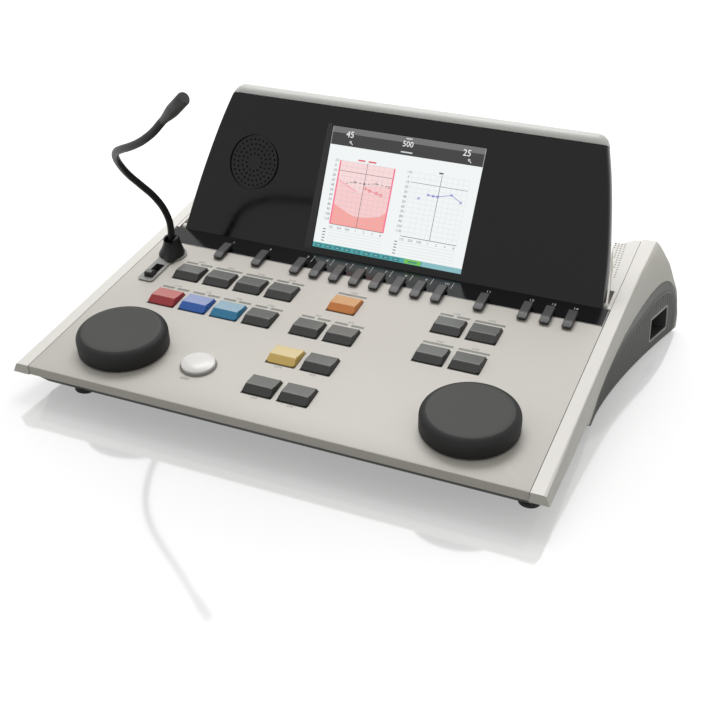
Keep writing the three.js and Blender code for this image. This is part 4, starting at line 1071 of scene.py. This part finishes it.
# Side grips: a ribbed skin on the flared side under an arch, with a bead along the arch and a framed pocket.
sideSettings = {
    "half": 177, "depth": 304, "slope": 9, "lipTop": 23.8, "peak": 292.36, "flareStart": 140, "flare": 27,
    "peakFlare": 3, "flarePower": 1.6, "sidePower": 2.2, "draft": 3, "lipDrop": 6.5, "foot": 2,
    "footStart": 13, "footRun": 13,
}
gripSettings = {
    "start": 112, "end": 301.5, "peak": 45.5, "first": 120, "skin": 3.2,
    "arch": ((0, 0.1), (0.06, 0.18), (0.13, 0.3), (0.2, 0.44), (0.27, 0.57), (0.34, 0.68), (0.42, 0.78),
             (0.52, 0.86), (0.64, 0.93), (0.76, 0.985), (0.84, 1), (0.9, 0.985), (0.945, 0.92), (0.975, 0.8),
             (0.992, 0.62), (1, 0.4)),
    "ribPitch": 3.4, "ribHalf": 0.75, "ribHigh": 0.5, "ribEnd": 287,
    "ribRows": (-1.55, -0.74, -0.6, -0.35, 0, 0.35, 0.6, 0.74),
    "beadHigh": 0.5, "beadWide": 0.5, "beadRun": (132, 150), "grooveDeep": 0.4, "grooveInset": 1.1,
    "bandFront": 2.2, "bandTop": 7.6, "bandRun": (150, 235), "bandEnd": (285, 300),
    "edgeRound": 0.5, "edgeRun": 0.8,
    "pocket": (251.4, 281.6, 10.4, 26.6), "pocketRound": 1.5, "pocketFloor": 171.2, "pocketCut": (165, 215),
    "columnGap": 0.2, "columnStep": 0.3, "rowRuns": ((0, 0.7, 15), (0.71, 0.92, 22), (0.94, 1, 4)),
    "ribFade": (0.4, 1.2), "pocketFade": 0.5, "perSpan": 24,
    # each ring of the pocket's frame has its growth from the opening and its lift off the side
    "frame": 1.3, "frameRings": ((0, -1.2), (0, 0.4), (0.25, 0.6), (1.0, 0.6), (1.3, 0.4), (1.3, -1.2)),
    "cupInset": 0.02, "cupWall": 0.5, "cupLift": 0.1, "cupFloor": 0.4,
}


# Half width: foot and top half widths grow by powers of the way back, and are blended by a power of the
# share of the height; the front's draft eases off to the rear and at the lip.
def sideSurface(y, z):
    side = sideSettings
    back = (y - side["flareStart"]) / (side["depth"] - side["flareStart"])
    spread = np.clip(back, 0, None) ** side["flarePower"]
    foot, top = side["half"] + side["flare"] * spread, side["half"] + side["peakFlare"] * spread ** 2
    low = footLine(y)
    full = side["lipTop"] + np.minimum(y, side["peak"]) * math.tan(math.radians(side["slope"]))
    share = np.clip((z - low) / (full - low), 0, 1)
    draft = side["draft"] * np.clip(1 - y / side["flareStart"], 0, None)
    draft = draft * np.clip((full - z) / side["lipDrop"], 0, 1)
    return foot + (top - foot) * share ** side["sidePower"] + draft


# The grip's lower edge: it comes down in a straight line behind its front corner, then runs level.
def footLine(y):
    side = sideSettings
    share = np.clip(1 - (y - gripSettings["start"]) / side["footRun"], 0, 1)
    return side["foot"] + (side["footStart"] - side["foot"]) * share


# The grip's upper edge: a smooth curve through shares of its length and height.
def archLine():
    grip = gripSettings
    shares = throughPoints(grip["arch"], grip["perSpan"])
    return shares * (grip["end"] - grip["start"], grip["peak"]) + (grip["start"], 0)


# Distance outside a rectangle: the length of the two overshoots together.
def beyond(y, z, rectangle):
    y0, y1, z0, z1 = rectangle
    return np.hypot(np.maximum(np.maximum(y0 - y, y - y1), 0), np.maximum(np.maximum(z0 - z, z - z1), 0))


# The side's surface with half-round ribs inside a band, a bell-curved bead and groove along the band, and an
# edge that rounds off by a square. Columns stand where the ribs need them, and rows run from foot to arch.
def gripSurface():
    grip = gripSettings
    arch, pitch, first, end = archLine(), grip["ribPitch"], grip["first"], grip["end"]
    y = (np.arange(first + pitch, grip["ribEnd"], pitch)[:, None] + np.array(grip["ribRows"])).ravel()
    y = np.concatenate([[first], y[y > first + grip["columnGap"]],
                        np.arange(y[-1] + 0.5, end, grip["columnStep"]), [end]])
    share = np.concatenate([np.linspace(*run) for run in grip["rowRuns"]])
    low, high = footLine(y), np.interp(y, arch[:, 0], arch[:, 1])
    z = low + (high - low) * share[:, None]
    y = np.broadcast_to(y, z.shape)
    rearEdge = np.stack([np.full(20, end), np.linspace(arch[-1, 1], 0, 20)], -1)
    gap = np.full(z.shape, 1e3)
    for spot in np.concatenate([arch, rearEdge]):
        gap = np.minimum(gap, np.hypot(y - spot[0], z - spot[1]))
    band = grip["bandFront"] + (grip["bandTop"] - grip["bandFront"]) * fade(y, *grip["bandRun"])
    band = band - grip["bandFront"] * fade(y, *grip["bandEnd"])
    besidePocket = fade(beyond(y, z, grip["pocket"]), grip["frame"], grip["frame"] + grip["pocketFade"])
    inside = fade(gap, band + grip["ribFade"][0], band + grip["ribFade"][1]) * besidePocket
    nearest = np.abs((y - first + pitch / 2) % pitch - pitch / 2)
    rib = np.sqrt(np.clip(1 - (nearest / grip["ribHalf"]) ** 2, 0, 1)) * grip["ribHigh"]
    bead = grip["beadHigh"] * np.exp(-((gap - band) / grip["beadWide"]) ** 2)
    groove = grip["grooveDeep"] * np.exp(-((gap - band + grip["grooveInset"]) / grip["beadWide"]) ** 2)
    edgeRound = grip["edgeRound"] * np.clip(1 - gap / grip["edgeRun"], 0, 1) ** 2
    started = fade(y, *grip["beadRun"])
    return y, z, sideSurface(y, z) + inside * rib + (bead - groove) * started - edgeRound


# A ring round the pocket, grown from its opening; its points lie off the side's surface or at one depth.
def pocketRing(grow, lift=0, depth=None):
    y0, y1, z0, z1 = gripSettings["pocket"]
    corners = (gripSettings["pocketRound"] + grow,) * 4
    outline = roundedOutline(y1 - y0 + 2 * grow, z1 - z0 + 2 * grow, corners, 5)
    outline = outline + ((y0 + y1) / 2, (z0 + z1) / 2)
    x = sideSurface(outline[:, 0], outline[:, 1]) + lift if depth is None else np.full(len(outline), depth)
    return np.column_stack([x, outline])


def makeGrip(side):
    grip = gripSettings
    name = "right" if side > 0 else "left"
    toWorld = Matrix.Diagonal((side * mm, mm, mm, 1))
    toWorld.translation = (0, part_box("control_panel")[0].y, 0)
    y, z, x = gripSurface()
    back = [0, len(y) // 3, 2 * len(y) // 3, len(y) - 1][::-1]
    inner = sideSurface(y[back], z[back]) - grip["skin"]
    points = np.concatenate([np.stack([x, y, z], -1), np.stack([inner, y[back], z[back]], -1)])
    rows, columns = points.shape[:2]
    faces = gridFaces(rows, columns, wrapRows=True)
    faces += [tuple(k * columns + end for k in range(rows)) for end in (0, columns - 1)]
    cutter = ringSkin(np.stack([pocketRing(0, depth=depth) for depth in grip["pocketCut"]]))
    skin = carved(meshOf("skin", points, faces), meshOf("pocket", *cutter))
    placedPiece(name + "_grip_skin", skin, "grip", "body", toWorld, (name + "_side_grip",), 34)
    edge = np.stack([pocketRing(*ring) for ring in grip["frameRings"]])
    edge = meshOf("frame", edge, gridFaces(len(edge), edge.shape[1], True, True))
    placedPiece(name + "_pocket_frame", edge, "grip_frame", "body", toWorld, (), 34)
    inset, wall, lift, floor = -grip["cupInset"], -grip["cupWall"], grip["cupLift"], grip["pocketFloor"]
    cup = ringSkin(np.stack([pocketRing(inset, depth=floor), pocketRing(inset, lift), pocketRing(wall, lift),
                             pocketRing(wall, depth=floor + grip["cupFloor"])]))
    placedPiece(name + "_pocket_cup", meshOf("cup", *cup), "base", "body", toWorld, (), 34)


makeGrip(1)
makeGrip(-1)
print("boot and grips made")

# Thin trim on the panel: light bars, parting lines, plain figures and lines, all in mm in the panel's axes.
trimSettings = {
    "barBehind": 13.6, "pairShift": 5.85, "pairWide": 9.3, "singleWide": 20.9, "barDeep": 1.7,
    "shadeDeep": 0.35, "raised": (-0.1, 0.12), "shaded": (-0.1, 0.05), "ink": (-0.1, 0.02),
    "well": 0.36, "wellGap": 0.04, "wellDepths": (-1.8, -0.08), "wellFront": 0.95, "wellSide": 0.3,
    "wellEnd": 0.1, "wellLip": 0.05, "ruleInset": 0.6, "ruleFront": 0.05, "ruleRear": 0.4, "edgeFront": 0.1,
    "slotTravel": 11.0, "slotGap": 0.22, "slotRim": 0.14, "slotRimDepths": (-4, 1.04),
    "slotFloor": (-4.6, -4.2), "stripFront": 173.4, "stripRear": 194.5, "stripEdge": 0.7, "edgeHalf": 0.15,
    "parting": 167.85, "lineWide": 0.45, "lineFront": 0.6, "lineDepths": (-1.2, 0.02),
    "figureAhead": -11.6, "figureBehind": 16.8, "figureHigh": 2.0, "toneFigure": (-2, -15.5, 2.4),
    "barFigure": 6.3, "barFigureHigh": 2.6, "tick": (4.4, 4.7, 183, 191), "ticked": range(2, 10),
    "withoutBars": ("key_front_left", "key_front_right", "key_lower_right", "key_yellow"),
    "oneBar": ("key_top_2", "key_top_3", "key_orange", "key_right_2", "key_right_3", "key_right_4"),
}


class Trim:
    # gathers thin boxes and flat figures of one finish; a box has its sides across, up the slope and out
    def __init__(self):
        self.points, self.faces = [], []

    def slip(self, x0, x1, v0, v1, depths):
        start = len(self.points)
        self.points += [(x * mm, v * mm, n * mm) for n in depths
                        for x, v in ((x0, v0), (x1, v0), (x1, v1), (x0, v1))]
        for face in ((3, 2, 1, 0), (4, 5, 6, 7), (0, 1, 5, 4), (1, 2, 6, 5), (2, 3, 7, 6), (3, 0, 4, 7)):
            self.faces.append(tuple(start + k for k in face))

    def surround(self, x0, x1, v0, v1, wide, depths):
        for sides in ((x0 - wide, x1 + wide, v0 - wide, v0), (x0 - wide, x1 + wide, v1, v1 + wide),
                      (x0 - wide, x0, v0, v1), (x1, x1 + wide, v0, v1)):
            self.slip(*sides, depths)

    def figures(self, text, x, v, size):
        for outline in figureFaces(text):
            start = len(self.points)
            level = trimSettings["ink"][1] * mm
            self.points += [((x + a * size) * mm, (v + b * size) * mm, level) for a, b in outline]
            self.faces.append(tuple(range(start, start + len(outline))))

    def made(self, name, finish):
        mesh = meshOf(name, self.points, self.faces)
        mesh.transform(onPanel)
        dressed(name, mesh, finish, "body")


def middleOf(node):
    low, high = panelBox(node)
    return (low + high)[:2] / 2 / mm


def makeLightBars():
    bars, shades, trim = Trim(), Trim(), trimSettings
    deep = trim["barDeep"] / 2
    for node in [node for node in panelKeys if node not in trim["withoutBars"]]:
        single = node in trim["oneBar"]
        x, v = middleOf(node)
        v += trim["barBehind"]
        half = trim["singleWide" if single else "pairWide"] / 2
        for shift in ((0,) if single else (-trim["pairShift"], trim["pairShift"])):
            sides = (x + shift - half, x + shift + half)
            bars.slip(*sides, v - deep, v + deep, trim["raised"])
            shades.slip(*sides, v + deep, v + deep + trim["shadeDeep"], trim["shaded"])
    bars.made("light_bars", "light_bar")
    shades.made("light_bar_shades", "line_dark")


def makeFigures():
    greys, whites, trim = Trim(), Trim(), trimSettings
    for k, node in enumerate(panelKeys):
        x, v = middleOf(node)
        away = trim["figureAhead" if node in trim["withoutBars"] else "figureBehind"]
        greys.figures(str(125 * (k + 1)), x, v + away, trim["figureHigh"])
    x, v = middleOf("tone_button")
    across, up, high = trim["toneFigure"]
    greys.figures("1000", x + across, v + up, high)
    left, right, front, rear = trim["tick"]
    for k in range(len(functionKeys)):
        x, v = middleOf("function_key_" + str(k + 1))
        whites.figures(str(k + 1), x, trim["stripRear"] - trim["barFigure"], trim["barFigureHigh"])
        if k in trim["ticked"]:
            whites.slip(x + left, x + right, front, rear, trim["ink"])
    half, front = trim["parting"] - trim["ruleInset"], trim["stripFront"]
    whites.slip(-half, half, front + trim["ruleFront"], front + trim["ruleRear"], trim["ink"])
    for side in (-1, 1):
        edge, wide = side * (trim["parting"] - trim["stripEdge"]), trim["edgeHalf"]
        whites.slip(edge - wide, edge + wide, front + trim["edgeFront"], trim["stripRear"], trim["ink"])
    greys.made("panel_figures", "ink_grey")
    whites.made("strip_figures", "ink_white")


# Dark lines at the panel's sides, round each key and round the slide switch's slot, and a painted shadow band in
# front of each key and past its left edge.
def makeLinesAndKeyShadows():
    lines, trim = Trim(), trimSettings
    for side in (-1, 1):
        x, half = side * trim["parting"], trim["lineWide"] / 2
        lines.slip(x - half, x + half, trim["lineFront"], trim["stripRear"], trim["lineDepths"])
    gap = trim["wellGap"]
    for node in panelKeys:
        (x0, v0), (x1, v1) = (corner[:2] / mm for corner in panelBox(node))
        lines.surround(x0 - gap, x1 + gap, v0 - gap, v1 + gap, trim["well"], trim["wellDepths"])
        # a painted shadow under each key's front edge, reaching a little past its left side
        lines.slip(x0 - trim["wellSide"], x1 + trim["wellEnd"], v0 - trim["wellFront"], v0 - trim["wellLip"],
                   trim["ink"])
    gap = trim["slotGap"]
    (x0, v0), (x1, v1) = (corner[:2] / mm for corner in panelBox("talk_slider"))
    slot = (x0 - gap, x1 + gap, v0 - gap, v1 + trim["slotTravel"])
    lines.surround(*slot, trim["slotRim"], trim["slotRimDepths"])
    lines.slip(*slot, trim["slotFloor"])
    lines.made("parting_lines", "line_dark")


perforationSettings = {
    "rows": (214, 286, 3.3), "columns": 4, "columnStep": 2.3, "start": 236, "outer": 162.2, "outerFrom": 213,
    "outerTaper": 0.055, "edgeGap": 0.8, "edgeShift": (1.3, 1),
    "radius": 0.6 * mm, "depths": (-0.6 * mm, 0.03 * mm),
}


# Rows of small dark holes on the deck's side strips, outside the folded display's edge.
def makePerforations():
    settings = perforationSettings
    hinge = (onPanel.inverted() @ Vector(jointByName["display_tilt"]["pos_m"])).y
    aside, always = settings["edgeShift"]
    for side, name in ((1, "right"), (-1, "left")):
        centres = []
        for v in np.arange(*settings["rows"]) * mm:
            share = (v - hinge) / displaySettings["face"]
            edge = displaySettings["halfWide"] * np.polyval(taperCurve, share) + (aside * side + always) * mm
            limit = (settings["outer"] - (v / mm - settings["outerFrom"]) * settings["outerTaper"]) * mm
            for k in range(settings["columns"]):
                x = limit - k * settings["columnStep"] * mm
                if x > edge + settings["edgeGap"] * mm and v > settings["start"] * mm:
                    centres.append((side * x, v))
        mesh = pins(centres, settings["radius"], *settings["depths"], 10)
        placedPiece(name + "_perforations", mesh, "line_dark", "body", onPanel)


socketSettings = {
    "section": ((3.3, 0), (3.3, 0.5), (3.6, 0.7), (4.3, 0.7), (4.6, 0.4), (4.6, 0)), "around": 40,
    "count": 8, "pitch": 0.096, "middle": 4.5,
}


# Plated rings round the rear jacks: a small section turned about an axis that points to the rear.
def makeSocketRings():
    low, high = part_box("socket_plate")
    around = socketSettings["around"]
    turned = turnedRings(np.array(socketSettings["section"]) * mm, around)[..., [0, 2, 1]]
    for k in range(socketSettings["count"]):
        across = (k - socketSettings["middle"]) * socketSettings["pitch"] * (high.x - low.x)
        rings = turned + (across, high.y, (low.z + high.z) / 2)
        faces = gridFaces(len(rings), around, True, True)
        addPiece("socket_ring_" + str(k + 1), rings, faces, "socket_ring", "body")


makeLightBars()
makeFigures()
makeLinesAndKeyShadows()
makePerforations()
makeSocketRings()
print("trim made")

# Mouldings of the case: the CAD pieces with rounded edges.
easedEdges = {
    "left_cheek": 0.5, "right_cheek": 0.5, "control_panel": 0.35, "function_strip": 0.25, "rear_deck": 0.4,
    "base_tray": 0.5, "talk_slider": 0.3, "socket_plate": 0.25,
    "foot_front_left": 0.6, "foot_front_right": 0.6, "foot_rear_left": 0.6, "foot_rear_right": 0.6,
}
for node, edge in easedEdges.items():
    easedCopy(node, edge * mm)
print("case mouldings eased")

# Floor, lights and camera
studio = {
    "floorHalf": 5.0, "floorColor": (0.40, 0.40, 0.403), "mirrorShare": 0.28, "mirrorRough": 0.08,
    "glowRun": (0.18, 0.5), "glowNear": 0.52, "glowFar": 1.0, "lowTint": (1.0, 0.985, 0.92),
    "keyPlace": (-0.3, 0.5, 1.25), "keySize": (0.9, 0.6), "keyPower": 9.4,
    "rimPlace": (-0.1, 1.0, 0.65), "rimSize": (0.9, 0.35), "rimPower": 3.8, "lampAim": (0, 0, 0.05),
    "fillTowards": (-0.42, 0.6, 0.75), "fillRun": (-0.6, 0.9), "fillLow": 0.05, "fillHigh": 0.80,
}
cameraView = {
    "place": (0.25703, -0.65224, 0.35603), "turn": (55.222, -1.533, 23.631),
    "lens": 53.966, "shift": (0.04, 0.2),
}


# The floor is a pale matt surface with a share of mirror. To the camera it glows more with the distance from
# the object, until it is white.
def makeFloor():
    half = studio["floorHalf"]
    corners = [(-half, -half, 0), (half, -half, 0), (half, half, 0), (-half, half, 0)]
    floor = linked("floor", meshOf("floor", corners, [(0, 1, 2, 3)]))
    finish = Finish("floor", studio["floorColor"], 0.9,
                    **{"Specular IOR Level": 0.0, "Emission Strength": 1.0})
    away = finish.node("ShaderNodeVectorMath", {"operation": "LENGTH"}, {0: finish.place()}, output="Value")
    glow = finish.node("ShaderNodeMapRange", inputs={
        "Value": away, "From Min": studio["glowRun"][0], "From Max": studio["glowRun"][1],
        "To Min": studio["glowNear"], "To Max": studio["glowFar"]})
    finish.vary("Emission Color", finish.shown() * glow)
    mirror = finish.node("ShaderNodeBsdfGlossy", inputs={
        "Color": (1, 1, 1, 1), "Roughness": studio["mirrorRough"]})
    matt = Signal(finish, finish.shader.outputs[0])
    mixed = finish.node("ShaderNodeMixShader", inputs={0: studio["mirrorShare"], 1: matt, 2: mirror})
    finish.feed(finish.tree.nodes["Material Output"].inputs["Surface"], mixed)
    floor.data.materials.append(finish.material)


# The world is plain white to the camera, in mirrors and through glass. As a light it grows with the cosine of
# the angle to its brightest side, and its dim side is a little warmer.
def makeWorld():
    world = bpy.data.worlds.new("studio")
    world.use_nodes = True
    world.node_tree.nodes.clear()
    bpy.context.scene.world = world
    sky = Shading(world.node_tree)
    shown = sky.shown()
    heading = sky.node("ShaderNodeTexCoord", output="Generated")
    towards = sky.node("ShaderNodeVectorMath", {"operation": "DOT_PRODUCT"},
                       {0: heading, 1: studio["fillTowards"]}, output="Value")
    fill = sky.node("ShaderNodeMapRange", inputs={
        "Value": towards, "From Min": studio["fillRun"][0], "From Max": studio["fillRun"][1],
        "To Min": studio["fillLow"], "To Max": studio["fillHigh"]})
    strength = sky.node("ShaderNodeMix", inputs={0: shown, 2: fill, 3: 1.0})
    tint = sky.blend(sky.clampedSum(fill, shown), (*studio["lowTint"], 1), (1, 1, 1, 1))
    background = sky.node("ShaderNodeBackground", inputs={"Color": tint, "Strength": strength})
    sky.node("ShaderNodeOutputWorld", inputs={"Surface": background}, output=None)


# Two soft boxes, one above and a weaker one behind, which mirrors don't show.
def makeLamps():
    for name in ("key", "rim"):
        lamp = bpy.data.lights.new(name + " softbox", "AREA")
        lamp.shape = "RECTANGLE"
        lamp.size, lamp.size_y = studio[name + "Size"]
        lamp.energy = studio[name + "Power"]
        box = linked(name + " softbox", lamp)
        box.location = studio[name + "Place"]
        box.visible_glossy = name == "key"
        aim = Vector(studio["lampAim"]) - box.location
        box.rotation_euler = aim.to_track_quat("-Z", "Y").to_euler()


def makeCamera():
    lens = bpy.data.cameras.new("view")
    lens.sensor_width = 36
    lens.lens = cameraView["lens"]
    lens.shift_x, lens.shift_y = cameraView["shift"]
    lens.clip_start, lens.clip_end = 0.01, 30
    camera = linked("view", lens)
    camera.location = cameraView["place"]
    camera.rotation_euler = [math.radians(angle) for angle in cameraView["turn"]]
    bpy.context.scene.camera = camera


makeFloor()
makeWorld()
makeLamps()
makeCamera()
bpy.context.scene.view_settings.view_transform = "Standard"
print("floor, lights and camera placed")
